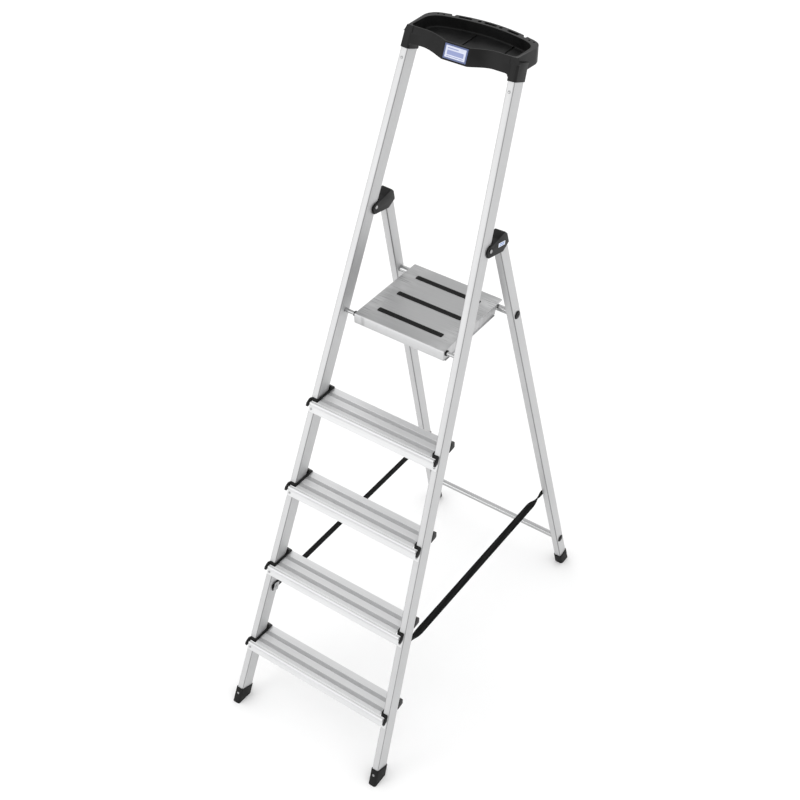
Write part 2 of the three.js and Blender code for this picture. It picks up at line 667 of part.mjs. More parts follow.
add(ladder, 'platform_deck', platform(), deckAluminium);
for (const { name, y } of GRIPS) {
  const height = GRIP.depth + GRIP.proud - GAP;
  add(ladder, `platform_grip_${name}`, gripSolid(y, height, 0, PLATFORM_Z - GRIP.depth + GAP), blackRubber);
}
const axleHalf = centreAt(AXLE.z) + 4;
add(ladder, 'platform_axle', rod('x', AXLE.radius, 2 * axleHalf, 0, AXLE.y, AXLE.z), steel);

// ---- Straps that stop the frames from spreading ----
const strapX = (y) => {
  const share = (y - strapFrontY) / (strapRearY - strapFrontY);
  const frontX = centreAt(STRAP.z) - STILE.width / 2;
  const rearX = centreAt(strapRearZ) - LEG.width / 2;
  return THREE.MathUtils.lerp(frontX, rearX, share) - STRAP.gap - STRAP.thick / 2;
};
const strapFrontY = depthOf(front, STRAP.z, strapFront.y);
const strapRearZ = STRAP.z + 5;
const strapRearY = depthOf(rear, strapRearZ, strapRear.y);
const STRAP_END = 12;

function strap(sign) {
  const start = new THREE.Vector3(sign * strapX(strapFrontY), strapFrontY, STRAP.z);
  const end = new THREE.Vector3(sign * strapX(strapRearY), strapRearY, strapRearZ);
  const length = start.distanceTo(end) + 2 * STRAP_END;
  const band = box(-STRAP.thick / 2, STRAP.thick / 2, -STRAP_END, length - STRAP_END,
    -STRAP.width / 2, STRAP.width / 2);
  const holes = [STRAP_END, length - STRAP_END].map((y) =>
    rod('x', RIVET.hole + LEVEL_ROD_GAP, 10, 0, y - STRAP_END, 0, 8));
  const turn = new THREE.Quaternion().setFromUnitVectors(
    new THREE.Vector3(0, 1, 0), end.clone().sub(start).normalize());
  return cut(band, ...holes).applyQuaternion(turn).translate(start.x, start.y, start.z);
}

// Rivet whose head faces the ladder's middle, its shank reaching out through strap and tube wall.
function strapRivet(sign, headRadius, standOff) {
  const head = dome('x', -sign, headRadius, 1.6, -sign * standOff, 0, 0);
  const length = standOff + 5;
  return join(head, rod('x', RIVET.hole, length, sign * (length / 2 - standOff - 0.3), 0, 0, 8));
}

for (const side of SIDES) {
  const { sign } = side;
  add(ladder, `strap_${side.name}`, strap(sign), webbing);
  const outFront = -sign * (STILE.width / 2);
  const plateOffset = STRAP.gap + STRAP.thick + STRAP.plateGap;
  const plate = cut(
    box(-0.8, 0.8, -9, 9, -12, 12),
    rod('x', STRAP.hole, 10, 0, 0, 0, 8));
  const plateMesh = add(front.sides[side.name], `strap_plate_${side.name}`, plate, steel);
  plateMesh.position.set(outFront - sign * (plateOffset + 0.8), strapFront.y, strapFront.s);
  const frontRivet = add(front.sides[side.name], `strap_front_rivet_${side.name}`,
    strapRivet(sign, 4.6, plateOffset + 1.6 + GAP), steel);
  frontRivet.position.set(outFront, strapFront.y, strapFront.s);
  const rearRivet = add(rear.sides[side.name], `strap_rear_rivet_${side.name}`,
    strapRivet(sign, 7, STRAP.gap + STRAP.thick + STRAP.plateGap), steel);
  rearRivet.position.set(-sign * LEG.width / 2, strapRear.y, strapRear.s);
}

// ---- Origin at the middle of the footprint, on the floor ----
const footprint = new THREE.Box3().setFromObject(ladder);
ladder.position.y = -(footprint.min.y + footprint.max.y) / 2;

export default ladder;
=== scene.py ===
"""Step ladder: the finished pieces, materials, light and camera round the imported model."""
import math

import bmesh
import bpy
from mathutils import Matrix, Vector


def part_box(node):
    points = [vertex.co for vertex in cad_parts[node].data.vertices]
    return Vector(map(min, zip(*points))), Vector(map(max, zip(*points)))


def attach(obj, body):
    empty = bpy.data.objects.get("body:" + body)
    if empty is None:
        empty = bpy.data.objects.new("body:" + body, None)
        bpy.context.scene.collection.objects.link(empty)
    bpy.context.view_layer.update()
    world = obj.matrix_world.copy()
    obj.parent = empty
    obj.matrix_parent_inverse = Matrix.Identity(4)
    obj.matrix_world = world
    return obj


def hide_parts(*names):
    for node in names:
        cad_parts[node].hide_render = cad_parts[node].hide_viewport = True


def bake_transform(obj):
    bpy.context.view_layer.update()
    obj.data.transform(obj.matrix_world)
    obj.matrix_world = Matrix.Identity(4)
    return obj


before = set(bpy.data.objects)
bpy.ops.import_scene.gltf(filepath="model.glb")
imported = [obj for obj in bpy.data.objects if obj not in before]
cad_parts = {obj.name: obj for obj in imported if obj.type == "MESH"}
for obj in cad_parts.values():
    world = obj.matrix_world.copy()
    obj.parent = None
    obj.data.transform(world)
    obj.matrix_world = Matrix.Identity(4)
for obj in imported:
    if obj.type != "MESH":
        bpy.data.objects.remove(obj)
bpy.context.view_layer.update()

# ---- Driving dimensions, in millimetres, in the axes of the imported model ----
MM = 0.001
SIDES = (("left", -1), ("right", 1))
FRONT_LEAN = math.radians(20.9)
REAR_LEAN = math.radians(15.75)
REAR_LEG_Y = 917.6
HALF_WIDTH = 218.2
TAPER = 0.0537
GAP = 0.3
STILE_WIDTH, STILE_DEPTH, LEG_WIDTH, LEG_DEPTH = 17.0, 41.0, 19.4, 30.0
TUBE_WALL, TUBE_RADIUS = 1.6, 3.0
HOLE_CLEARANCE = 0.6
STILE_START, STILE_TOP, LEG_START, LEG_SHORT = 24.0, 1648.0, 12.0, 8.0
SHOE_WALL, SHOE_TOP_FRONT, SHOE_TOP_REAR, SCREW_Z = 2.0, 46.0, 36.0, 28.0
TREAD_HEIGHTS = [190.0 + 215.0 * i for i in range(4)]
TREAD_REAR, LIP_DROP, LIP_TOP, LIP_THICK = 62.8, 30.6, 12.0, 2.4
TREAD_BANDS = ((44.0, 33.0), (15.5, 4.5))
RIB_COUNT, RIB_TOP, RIB_BOTTOM = 9, -0.3, -0.95
TREAD_RIVET_DROP, TRAY_RIVET_Z = 23.5, 1597.0
BEAD_Y, BEAD_Z, BEAD_RADIUS = -12.5, -2.6, 3.1
CAP_STRIP = 4.7
PIN_Z, PIN_INSET, PIN_RADIUS = 1271.0, 6.5, 4.0
HOUSING_HALF = LEG_WIDTH / 2 + 3.5
AXLE_Y, AXLE_Z, AXLE_RADIUS = 422.5, 1043.0, 4.5
BAR_RADIUS, BAR_WALL, REST_BAR_Z, CROSSBAR_Z = 8.0, 1.5, 1035.5, 113.5
PLATFORM_Z, PLATFORM_HALF, PLATFORM_FRONT, PLATFORM_REAR = 1050.0, 123.0, 413.5, 657.0
SHEET, PLATFORM_LIP, FLANGE_REAR = 2.5, 26.0, 625.0
GRIP_Y, GRIP_HALF, GRIP_WIDTH, GRIP_CORNER = (461.0, 537.5, 614.0), 88.0, 13.5, 3.0
GRIP_DEPTH, GRIP_PROUD = 1.2, 0.9
TRAY_RIM, TRAY_HEIGHT, TRAY_WALL, TRAY_HALF = 1662.0, 33.0, 2.6, 138.0
TRAY_FRONT, TRAY_PANEL, TRAY_REAR, TRAY_LEDGE = 633.0, 620.0, 754.0, 19.0
TRAY_DROOP, BOWL_HALF, UPPER_CORNER, LOWER_CORNER, CORNER_SHELF = 7.0, 128.0, 12.0, 38.0, 8.0
SKIRT_DEPTH, SKIRT_WIDTH, SKIRT_FRONT = 7.0, 9.0, 655.0
APRON, RIM_DIP, FRONT_INSET, PANEL_HALF, LABEL_Z = 4.5, 2.4, 4.5, 31.0, 1640.5
SOCKET_BOTTOM, SHOULDER_HALF, STRAIGHT_FROM, BOWL_SHOULDER_HALF = 1617.0, 104.0, 88.0, 84.0
STRAP_Z, STRAP_REAR_Z, STRAP_WIDTH, STRAP_THICK = 329.0, 334.0, 20.0, 1.6
STRAP_FRONT_DEPTH, STRAP_REAR_DEPTH = 26.0, 13.0
STRAP_END, STRAP_GAP, PLATE_GAP, PLATE_THICK = 12.0, 1.5, 1.2, 1.6
STRAP_TWIST = {"left": math.radians(-7), "right": math.radians(86)}
STRAP_STEPS = 150

axle_low, axle_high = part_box("platform_axle")
SHIFT_Y = (axle_low.y + axle_high.y) / 2 / MM - AXLE_Y

# ---- Places: matrices in millimetres ----
LADDER = Matrix.Translation((0, SHIFT_Y, 0))


class Frame:
    """A leaning frame: its own matrix, and one splayed matrix for each of its two sides."""

    def __init__(self, lean, y):
        self.lean = lean
        self.y = y
        self.matrix = LADDER @ Matrix.Translation((0, y, 0)) @ Matrix.Rotation(lean, 4, "X")
        self.splay = math.atan(TAPER * math.cos(lean))

    def side(self, sign, s=0.0, depth=0.0):
        """Axes of one side, moved a distance s along it and a depth into its tube."""
        place = Matrix.Translation((sign * HALF_WIDTH, 0, 0)) @ Matrix.Rotation(-sign * self.splay, 4, "Y")
        return self.matrix @ place @ Matrix.Translation((0, depth, s))

    def along(self, z, depth=0.0):
        """Distance along a side at which that depth in the tube is at height z."""
        return (z - depth * math.sin(self.lean)) / math.cos(self.lean) / math.cos(self.splay)

    def depth_of(self, z, depth):
        """Depth in the ladder's own axes of a point of a side."""
        s = self.along(z, depth) * math.cos(self.splay)
        return self.y + depth * math.cos(self.lean) - s * math.sin(self.lean)

    def point(self, y, z):
        """(depth, s) in a side's axes of a point in the ladder's own axes."""
        dy = y - self.y
        s = -dy * math.sin(self.lean) + z * math.cos(self.lean)
        return dy * math.cos(self.lean) + z * math.sin(self.lean), s / math.cos(self.splay)


front = Frame(-FRONT_LEAN, 0.0)
rear = Frame(REAR_LEAN, REAR_LEG_Y)
PIN_DEPTH = STILE_DEPTH - PIN_INSET
PIN_Y = front.depth_of(PIN_Z, PIN_DEPTH)
HINGE_DEPTH, HINGE_S = rear.point(PIN_Y, PIN_Z)
LEG_TOP = HINGE_S - LEG_SHORT


def centre_at(z):
    return HALF_WIDTH - TAPER * z


def stile_face(z):
    return z * math.tan(FRONT_LEAN)


# ---- Outlines ----
def fillet(corners, steps=4):
    """Outline through corners (x, y, radius), each rounded to its radius; a missing radius is sharp."""
    points = []
    for i, corner in enumerate(corners):
        here = Vector(corner[:2])
        radius = corner[2] if len(corner) > 2 else 0
        if not radius:
            points.append(here)
            continue
        before = (Vector(corners[i - 1][:2]) - here).normalized()
        after = (Vector(corners[(i + 1) % len(corners)][:2]) - here).normalized()
        half = before.angle(after) / 2
        centre = here + (before + after).normalized() * radius / math.sin(half)
        first = here + before * radius / math.tan(half) - centre
        last = here + after * radius / math.tan(half) - centre
        start = math.atan2(first.y, first.x)
        turn = (math.atan2(last.y, last.x) - start + math.pi) % math.tau - math.pi
        for k in range(steps + 1):
            angle = start + turn * k / steps
            points.append(centre + radius * Vector((math.cos(angle), math.sin(angle))))
    return points


def tube_outline(width, depth, radius, grow=0.0):
    """Rounded rectangle centred on x = 0 with its front face on y = -grow."""
    x, r = width / 2 + grow, max(radius + grow, 0.4)
    return fillet([(-x, -grow, r), (x, -grow, r), (x, depth + grow, r), (-x, depth + grow, r)], 5)


def circle(radius, steps, x=0.0, y=0.0):
    return [Vector((x + radius * math.cos(math.tau * i / steps), y + radius * math.sin(math.tau * i / steps)))
            for i in range(steps)]


def curve(start, control, end, steps):
    """Points of a quadratic curve, without its first one."""
    a, b, c = Vector(start), Vector(control), Vector(end)
    return [a * (1 - t) ** 2 + b * 2 * t * (1 - t) + c * t * t
            for t in (k / steps for k in range(1, steps + 1))]


# ---- Solids, built in millimetres ----
def skin(rings, closed=False):
    """Solid through a row of rings of equally many points; closed joins its last ring to its first."""
    bm = bmesh.new()
    loops = [[bm.verts.new(p) for p in ring] for ring in rings]
    pairs = list(zip(loops, loops[1:]))
    if closed:
        pairs.append((loops[-1], loops[0]))
    for a, b in pairs:
        for i in range(len(a)):
            j = (i + 1) % len(a)
            bm.faces.new((a[i], a[j], b[j], b[i]))
    if not closed:
        bm.faces.new(loops[0][::-1])
        bm.faces.new(loops[-1])
    bmesh.ops.recalc_face_normals(bm, faces=bm.faces)
    return bm


def prism(outline, low, high):
    """Outline in (x, y), extruded along Z."""
    return skin([[Vector((p.x, p.y, z)) for p in outline] for z in (low, high)])


def across(outline, half, low=None):
    """Outline in (y, z), extruded along X."""
    start = -half if low is None else low
    return skin([[Vector((x, p.x, p.y)) for p in outline] for x in (start, half)])


def along_depth(outline, start, end):
    """Outline in (x, z), extruded along Y."""
    return skin([[Vector((p.x, y, p.y)) for p in outline] for y in (start, end)])


def hollow(outer, inner, low, high):
    """Tube between two outlines with the same number of points."""
    rings = [(outer, low), (outer, high), (inner, high), (inner, low)]
    return skin([[Vector((p.x, p.y, z)) for p in ring] for ring, z in rings], closed=True)


def lathe(profile, steps=32):
    """Solid of a profile (radius, height) turned about Z; its two ends lie on the axis."""
    bm = bmesh.new()
    rings = [[bm.verts.new((r * math.cos(math.tau * i / steps), r * math.sin(math.tau * i / steps), z))
              for i in range(steps)] for r, z in profile[1:-1]]
    for a, b in zip(rings, rings[1:]):
        for i in range(steps):
            j = (i + 1) % steps
            bm.faces.new((a[i], a[j], b[j], b[i]))
    for (_, z), ring in ((profile[0], rings[0]), (profile[-1], rings[-1])):
        pole = bm.verts.new((0, 0, z))
        for i in range(steps):
            bm.faces.new((ring[i], ring[(i + 1) % steps], pole))
    bmesh.ops.recalc_face_normals(bm, faces=bm.faces)
    return bm


def block(x0, x1, y0, y1, z0, z1):
    outline = [Vector(p) for p in ((x0, y0), (x1, y0), (x1, y1), (x0, y1))]
    return prism(outline, z0, z1)


def turned(bm, matrix):
    bmesh.ops.transform(bm, matrix=matrix, verts=bm.verts)
    return bm


def moved(bm, x, y, z):
    return turned(bm, Matrix.Translation((x, y, z)))


AXIS_X = Matrix.Rotation(math.pi / 2, 4, "Y")
TO_FRONT = Matrix.Rotation(math.pi / 2, 4, "X")


def rod(radius, length, x, y, z, steps=32):
    """Plain cylinder along X, centred on a point."""
    return moved(turned(prism(circle(radius, steps), -length / 2, length / 2), AXIS_X), x, y, z)


def loose(bm):
    """Object in the scene that holds a solid while it is worked on."""
    mesh = bpy.data.meshes.new("work")
    bm.to_mesh(mesh)
    bm.free()
    obj = bpy.data.objects.new("work", mesh)
    bpy.context.scene.collection.objects.link(obj)
    return obj


def apply_modifiers(obj):
    graph = bpy.context.evaluated_depsgraph_get()
    mesh = bpy.data.meshes.new_from_object(obj.evaluated_get(graph), depsgraph=graph)
    obj.modifiers.clear()
    obj.data = mesh


def boolean(base, tools, operation="DIFFERENCE"):
    """Cuts the tools out of the base, or joins them to it, and removes the tools."""
    if isinstance(base, bmesh.types.BMesh):
        base = loose(base)
    for tool in tools:
        tool = loose(tool) if isinstance(tool, bmesh.types.BMesh) else tool
        modifier = base.modifiers.new("boolean", "BOOLEAN")
        modifier.operation = operation
        modifier.solver = "EXACT"
        modifier.object = tool
        apply_modifiers(base)
        bpy.data.objects.remove(tool)
    return base


def rounded(obj, width, segments=2, angle=30):
    """Rounds an object's sharp edges for good."""
    if isinstance(obj, bmesh.types.BMesh):
        obj = loose(obj)
    modifier = obj.modifiers.new("round", "BEVEL")
    modifier.width = width
    modifier.segments = segments
    modifier.limit_method = "ANGLE"
    modifier.angle_limit = math.radians(angle)
    apply_modifiers(obj)
    return obj


def piece(name, solid, material, body, nodes, matrix=LADDER):
    """Names, places and shades one finished piece, hangs it on its body if it has one, and hides the imported
    parts it replaces.
    """
    obj = loose(solid) if isinstance(solid, bmesh.types.BMesh) else solid
    obj.name = name
    obj.data.name = name
    obj.data.transform(Matrix.Scale(MM, 4))
    placed = matrix.copy()
    placed.translation *= MM
    obj.matrix_world = placed
    obj.data.materials.clear()
    obj.data.materials.append(material)
    obj.data.shade_smooth()
    obj.data.set_sharp_from_angle(angle=math.radians(32))
    if body:
        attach(obj, body)
    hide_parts(*nodes)
    return obj


# ---- Materials ----
class Nodes:
    """A material under construction, with short calls for its nodes."""

    def __init__(self, name):
        self.material = bpy.data.materials.new(name)
        self.material.use_nodes = True
        self.tree = self.material.node_tree
        self.shader = self.tree.nodes["Principled BSDF"]

    def add(self, kind, **values):
        node = self.tree.nodes.new(kind)
        for key, value in values.items():
            if hasattr(node, key):
                setattr(node, key, value)
            else:
                node.inputs[key.replace("_", " ")].default_value = value
        return node

    def link(self, source, target):
        self.tree.links.new(source, target)

    def set(self, **values):
        for key, value in values.items():
            self.shader.inputs[key.replace("_", " ")].default_value = value

    def place(self, scale):
        """Object coordinates, stretched by a scale along each axis."""
        coordinates = self.add("ShaderNodeTexCoord")
        mapping = self.add("ShaderNodeMapping")
        mapping.inputs["Scale"].default_value = scale
        self.link(coordinates.outputs["Object"], mapping.inputs["Vector"])
        return mapping.outputs["Vector"]

    def noise(self, scale, detail=3.0, size=1.0):
        node = self.add("ShaderNodeTexNoise", Scale=size, Detail=detail)
        self.link(self.place(scale), node.inputs["Vector"])
        return node.outputs["Fac"]

    def spread(self, value, low, high, from_low=0.3, from_high=0.7):
        node = self.add("ShaderNodeMapRange")
        node.inputs["From Min"].default_value = from_low
        node.inputs["From Max"].default_value = from_high
        node.inputs["To Min"].default_value = low
        node.inputs["To Max"].default_value = high
        self.link(value, node.inputs["Value"])
        return node.outputs["Result"]

    def blend(self, factor, dark, light):
        node = self.add("ShaderNodeMix", data_type="RGBA")
        node.inputs[6].default_value = (*dark, 1)
        node.inputs[7].default_value = (*light, 1)
        self.link(factor, node.inputs["Factor"])
        return node.outputs[2]

    def axes(self):
        split = self.add("ShaderNodeSeparateXYZ")
        self.link(self.place((1, 1, 1)), split.inputs[0])
        return split.outputs

    def math(self, operation, *values):
        node = self.add("ShaderNodeMath", operation=operation)
        for value, socket in zip(values, node.inputs):
            if isinstance(value, (int, float)):
                socket.default_value = value
            else:
                self.link(value, socket)
        return node.outputs[0]

    def band(self, coordinate, low, high):
        """1 where a coordinate lies between two values in millimetres, else 0."""
        above = self.math("GREATER_THAN", coordinate, low * MM)
        return self.math("MULTIPLY", above, self.math("LESS_THAN", coordinate, high * MM))

    def tint(self, factor, base, colour):
        """Base colour with another laid over it."""
        node = self.add("ShaderNodeMix", data_type="RGBA")
        self.link(base, node.inputs[6])
        node.inputs[7].default_value = (*colour, 1)
        self.link(factor, node.inputs["Factor"])
        return node.outputs[2]

    def bump(self, height, distance, strength=1.0):
        node = self.add("ShaderNodeBump", Distance=distance, Strength=strength)
        self.link(height, node.inputs["Height"])
        self.link(node.outputs["Normal"], self.shader.inputs["Normal"])


def metal(name, dark, light, rough, streaks, grain=0.00001, metallic=1.0, painted_light_and_marks=None):
    """Satin metal, its colour and roughness streaked along one axis; painted shade, painted highlights and
    scuffs passed in are laid over its colour.
    """
    n = Nodes(name)
    fine = n.noise(streaks, 4.0)
    broad = n.noise((4.0,) * 3, 2.0)
    both = n.math("ADD", n.spread(fine, 0.0, 0.6), n.spread(broad, 0.0, 0.4))
    colour = n.blend(both, dark, light)
    n.link(painted_light_and_marks(n, colour) if painted_light_and_marks else colour, n.shader.inputs["Base Color"])
    n.link(n.spread(fine, rough[0], rough[1]), n.shader.inputs["Roughness"])
    n.bump(fine, grain)
    n.set(Metallic=metallic)
    return n.material


def moulded(name, dark, light, rough, grain_scale=900.0, grain=0.00004, shine=0.35):
    """Black moulded plastic or rubber with a fine even grain."""
    n = Nodes(name)
    fine = n.noise((grain_scale,) * 3, 2.0)
    broad = n.noise((25.0,) * 3, 3.0)
    n.link(n.blend(n.spread(broad, 0.0, 1.0), dark, light), n.shader.inputs["Base Color"])
    n.link(n.spread(broad, rough[0], rough[1]), n.shader.inputs["Roughness"])
    n.bump(fine, grain)
    n.shader.inputs["Specular IOR Level"].default_value = shine
    return n.material


def grey(value):
    """Grey with a faint blue cast."""
    return value, value * 1.003, value * 1.01


def tube_corner_painted_shade(n, colour):
    """Painted shade: a dark line painted down the front corners of a tube, where its sides meet its front."""
    x, y, _ = n.axes()
    beside = n.math("GREATER_THAN", n.math("ABSOLUTE", x), 7.3 * MM)
    corner = n.math("MULTIPLY", beside, n.band(y, 0.2, 2.2))
    # grey(0.22) is the painted shade laid along the front corners
    return n.tint(n.math("MULTIPLY", corner, 0.8), colour, grey(0.22))


def tread_painted_rib_shade(n, colour):
    """Painted shade over the ribbed bands of the tread, darkening them against the plain strips between them.
    """
    _, y, z = n.axes()
    bands = n.math("ADD", *[n.band(y, ahead, back) for back, ahead in TREAD_BANDS])
    bands = n.math("MULTIPLY", bands, n.band(z, -1.4, 0.4))
    # grey(0.40) is the painted shade of the ribs, laid on the tread's top only
    return n.tint(n.math("MULTIPLY", bands, 0.4), colour, grey(0.40))


def deck_painted_highlight_and_scuffs(n, colour):
    """Painted highlights over the front lip and along the side folds, and scuffs across the deck near both
    ends.
    """
    x, y, _ = n.axes()
    side = n.math("ABSOLUTE", x)
    side_highlight = n.math("GREATER_THAN", side, (PLATFORM_HALF - 1.6) * MM)
    front_highlight = n.math("LESS_THAN", y, (PLATFORM_FRONT + 2.6) * MM)
    # grey(0.62) is a painted highlight over the front lip and along the side folds
    colour = n.tint(n.math("MAXIMUM", n.math("MULTIPLY", side_highlight, 0.7), front_highlight), colour, grey(0.62))
    ends = n.spread(side, 0.0, 1.0, 55 * MM, 105 * MM)
    pale = n.spread(n.noise((7, 30, 30), 3.0), 0.0, 0.55, 0.48, 0.66)
    colour = n.tint(n.math("MULTIPLY", ends, pale), colour, grey(0.60))
    scuffs = n.spread(n.noise((14, 420, 1), 2.0), 0.0, 0.6, 0.60, 0.66)
    return n.tint(n.math("MULTIPLY", ends, scuffs), colour, grey(0.16))


tube_metal = metal("tube_aluminium", grey(0.53), grey(0.62), (0.48, 0.58), (700, 700, 5), metallic=0.85,
                   painted_light_and_marks=tube_corner_painted_shade)
tread_metal = metal("tread_aluminium", grey(0.66), grey(0.76), (0.44, 0.54), (5, 700, 700), metallic=0.75,
                    painted_light_and_marks=tread_painted_rib_shade)
deck_metal = metal("platform_aluminium", grey(0.36), grey(0.45), (0.38, 0.52), (6, 240, 240), 0.00002,
                   painted_light_and_marks=deck_painted_highlight_and_scuffs)
bar_metal = metal("bar_aluminium", grey(0.36), grey(0.50), (0.16, 0.26), (6, 500, 500))
zinc = metal("zinc_steel", grey(0.32), grey(0.46), (0.16, 0.3), (300, 300, 300))
plastic = moulded("black_plastic", grey(0.007), grey(0.013), (0.30, 0.40), shine=0.13)
rubber = moulded("black_rubber", grey(0.009), grey(0.015), (0.5, 0.65), 600.0, 0.00006, 0.12)


# ---- Tubes of both frames ----
def rail(width, depth, low, high):
    outer = tube_outline(width, depth, TUBE_RADIUS)
    inner = tube_outline(width, depth, TUBE_RADIUS, -TUBE_WALL)
    return loose(hollow(outer, inner, low, high))


axle_depth, axle_s = front.point(AXLE_Y, AXLE_Z)
for name, sign in SIDES:
    stile = rail(STILE_WIDTH, STILE_DEPTH, STILE_START, front.along(STILE_TOP))
    boolean(stile, [rod(PIN_RADIUS + HOLE_CLEARANCE, 40, 0, PIN_DEPTH, front.along(PIN_Z, PIN_DEPTH)),
                    rod(AXLE_RADIUS + HOLE_CLEARANCE, 10, -sign * STILE_WIDTH / 2, axle_depth, axle_s)])
    piece(f"stile_{name}", stile, tube_metal, "front_frame", [f"front_stile_{name}"],
          front.side(sign))
    leg = rail(LEG_WIDTH, LEG_DEPTH, LEG_START, LEG_TOP)
    boolean(leg, [rod(BAR_RADIUS + HOLE_CLEARANCE, 60, 0, LEG_DEPTH / 2, rear.along(z, LEG_DEPTH / 2))
                  for z in (REST_BAR_Z, CROSSBAR_Z)])
    piece(f"support_leg_{name}", leg, tube_metal, "rear_frame", [f"rear_leg_{name}"],
          rear.side(sign))


# ---- Treads ----
def lip_face(z, offset):
    """Depth of the lip's face; the lip lies flat on the stiles."""
    return stile_face(z) - (GAP + offset) / math.cos(FRONT_LEAN)


def tread_outline():
    points = fillet([(TREAD_REAR, -20), (TREAD_REAR, 0, 1.0), (TREAD_REAR - 10, 0)])[:-1]
    for back, ahead in TREAD_BANDS:
        step = (back - ahead) / RIB_COUNT
        points += [(back + 0.4, 0.0)]
        for k in range(RIB_COUNT):
            y = back - k * step
            points += [(y - 0.12 * step, RIB_BOTTOM), (y - 0.38 * step, RIB_BOTTOM),
                       (y - 0.62 * step, RIB_TOP), (y - 0.88 * step, RIB_TOP)]
        points += [(ahead, RIB_BOTTOM), (ahead - 0.4, 0.0)]
    points += [(-6.6, 0.0), (-7.4, -0.9), (-8.6, -0.9)]
    for k in range(13):
        angle = math.radians(50 + 150 * k / 12)
        points.append((BEAD_Y + BEAD_RADIUS * math.cos(angle), BEAD_Z + BEAD_RADIUS * math.sin(angle)))
    points += fillet([(-15.2, -5), (-14.4, -LIP_TOP + 2, 1.2), (lip_face(-LIP_TOP, LIP_THICK), -LIP_TOP, 1.0),
                      (lip_face(-LIP_DROP, LIP_THICK), -LIP_DROP, 1.1),
                      (lip_face(-LIP_DROP, 0), -LIP_DROP, 1.1),
                      (lip_face(1 - LIP_TOP, 0), 1 - LIP_TOP, 1.5), (-9, 3 - LIP_TOP, 1.5),
                      (-10.4, -4.2, 1.0),
                      (-7, -2, 0.8), (22.5, -2), (22.5, -LIP_TOP, 1.0), (24.6, -LIP_TOP, 1.0), (24.6, -2),
                      (TREAD_REAR - 2, -2, 1.5), (TREAD_REAR - 2, -18, 1.0), (TREAD_REAR - 6, -18),
                      (TREAD_REAR - 6, -20)])
    return [Vector(p) for p in points]


def tread(height):
    """The deck runs between the end caps, the nose up to their outer walls, the lip to the stiles' edges."""
    centre = centre_at(height)
    deck_end = centre - STILE_WIDTH / 2 - CAP_STRIP - 1
    nose_end = centre + 1
    lip_end = centre + STILE_WIDTH / 2 - 0.6
    tools = []
    for sign in (-1, 1):
        def span(x):
            return sorted((sign * x, sign * (lip_end + 5)))
        tools += [block(*span(deck_end), -6.4, 80, -LIP_TOP + 0.5, 5),
                  block(*span(deck_end), -3, 80, -40, -LIP_TOP + 0.6),
                  block(*span(nose_end), -30, -6.3, -LIP_TOP + 0.5, 5)]
    return boolean(across(tread_outline(), lip_end), tools)


# ---- End caps: black trim bent round each stile ----
def cap_ribbon(inward):
    """Band along the stile's inner face, across its front and forward over the end of the tread's nose."""
    inner = STILE_WIDTH / 2 + 0.5 + CAP_STRIP / 2
    outer = -5.9
    cross = -1.2
    path = [(inner, y) for y in (56.6, 56.2, 55.2, 53.5, 40, 20, 8)]
    path += [tuple(p) for p in curve((inner, 6), (inner, cross), (inner - 7, cross), 6)]
    path += [(0, cross)]
    path += [tuple(p) for p in curve((outer + 6, cross), (outer, cross), (outer, cross - 6), 6)]
    path += [(outer, y) for y in (-9, -11.5, -13.5, -15, -15.9)]
    rings = []
    for i, (x, y) in enumerate(path):
        ahead = Vector(path[min(i + 1, len(path) - 1)]) - Vector(path[max(i - 1, 0)])
        side = Vector((ahead.y, -ahead.x)).normalized()
        top, bottom, half = 4.5, -5.0, CAP_STRIP / 2 + 0.2
        if y > 10:
            bottom = -13.0
        if y > 53:
            share = (56.8 - y) / 3.8
            half *= math.sqrt(max(0.06, 1 - (1 - share) ** 2))
            top = 4.5 - 2.5 * (1 - share) ** 2
        if y < -7:
            share = (-7 - y) / 9
            top = 4.5 - 6.5 * share ** 1.6
            bottom = -5 - 5.5 * min(1, 2.5 * share)
            half = 3.0
        section = fillet([(-half, bottom), (half, bottom), (half, top, min(1.6, half * 0.8)),
                          (-half, top, min(1.6, half * 0.8))], 4)
        lean = math.tan(FRONT_LEAN) * min(1, max(0, (12 - y) / 10))
        rings.append([Vector((inward * (x + side.x * p.x), y + side.y * p.x + p.y * lean, p.y))
                      for p in section])
    return skin(rings)


def tread_cap(inward):
    back = STILE_DEPTH / math.cos(FRONT_LEAN) + 0.7
    lobe = fillet([(back + stile_face(-13), -13), (TREAD_REAR - 0.6, -11, 3.5), (TREAD_REAR + 0.4, 4, 4.5),
                   (back + stile_face(14), 14, 1.2)], 6)
    solid = rounded(across(lobe, 13.4, -8.4), 1.3, 3)
    if inward < 0:
        solid.data.transform(Matrix.Diagonal((-1, 1, 1, 1)))
        solid.data.flip_normals()
    return boolean(loose(cap_ribbon(inward)), [solid], "UNION")


# ---- Rivets, screws and pins: heads turned about Z, facing +Z ----
def rivet(radius, height, shank_radius, shank, dimple=0.35):
    """Domed head above z = 0 with a dimple in its middle, and its shank below."""
    profile = [(0, height * 0.72), (radius * dimple * 0.6, height * 0.72), (radius * dimple, height)]
    for k in range(1, 7):
        angle = math.pi / 2 * (1 - k / 6)
        profile.append((radius * (dimple + (1 - dimple) * math.cos(angle)), height * math.sin(angle)))
    profile += [(shank_radius, 0), (shank_radius, -shank), (0, -shank)]
    return lathe(profile)


def face_rivet(name, sign, z, offset, nodes, screw=False):
    """Rivet or screw in a stile's front face."""
    solid = rivet(3.2, 1.1, 1.7, 6)
    if screw:
        solid = boolean(rivet(3.2, 1.5, 1.7, 6, 0.1), [block(-4, 4, -0.35, 0.35, 0.7, 3),
                                                       block(-0.35, 0.35, -4, 4, 0.7, 3)])
    matrix = front.side(sign, front.along(z), -offset) @ TO_FRONT
    piece(name, solid, zinc, "front_frame", nodes, matrix)


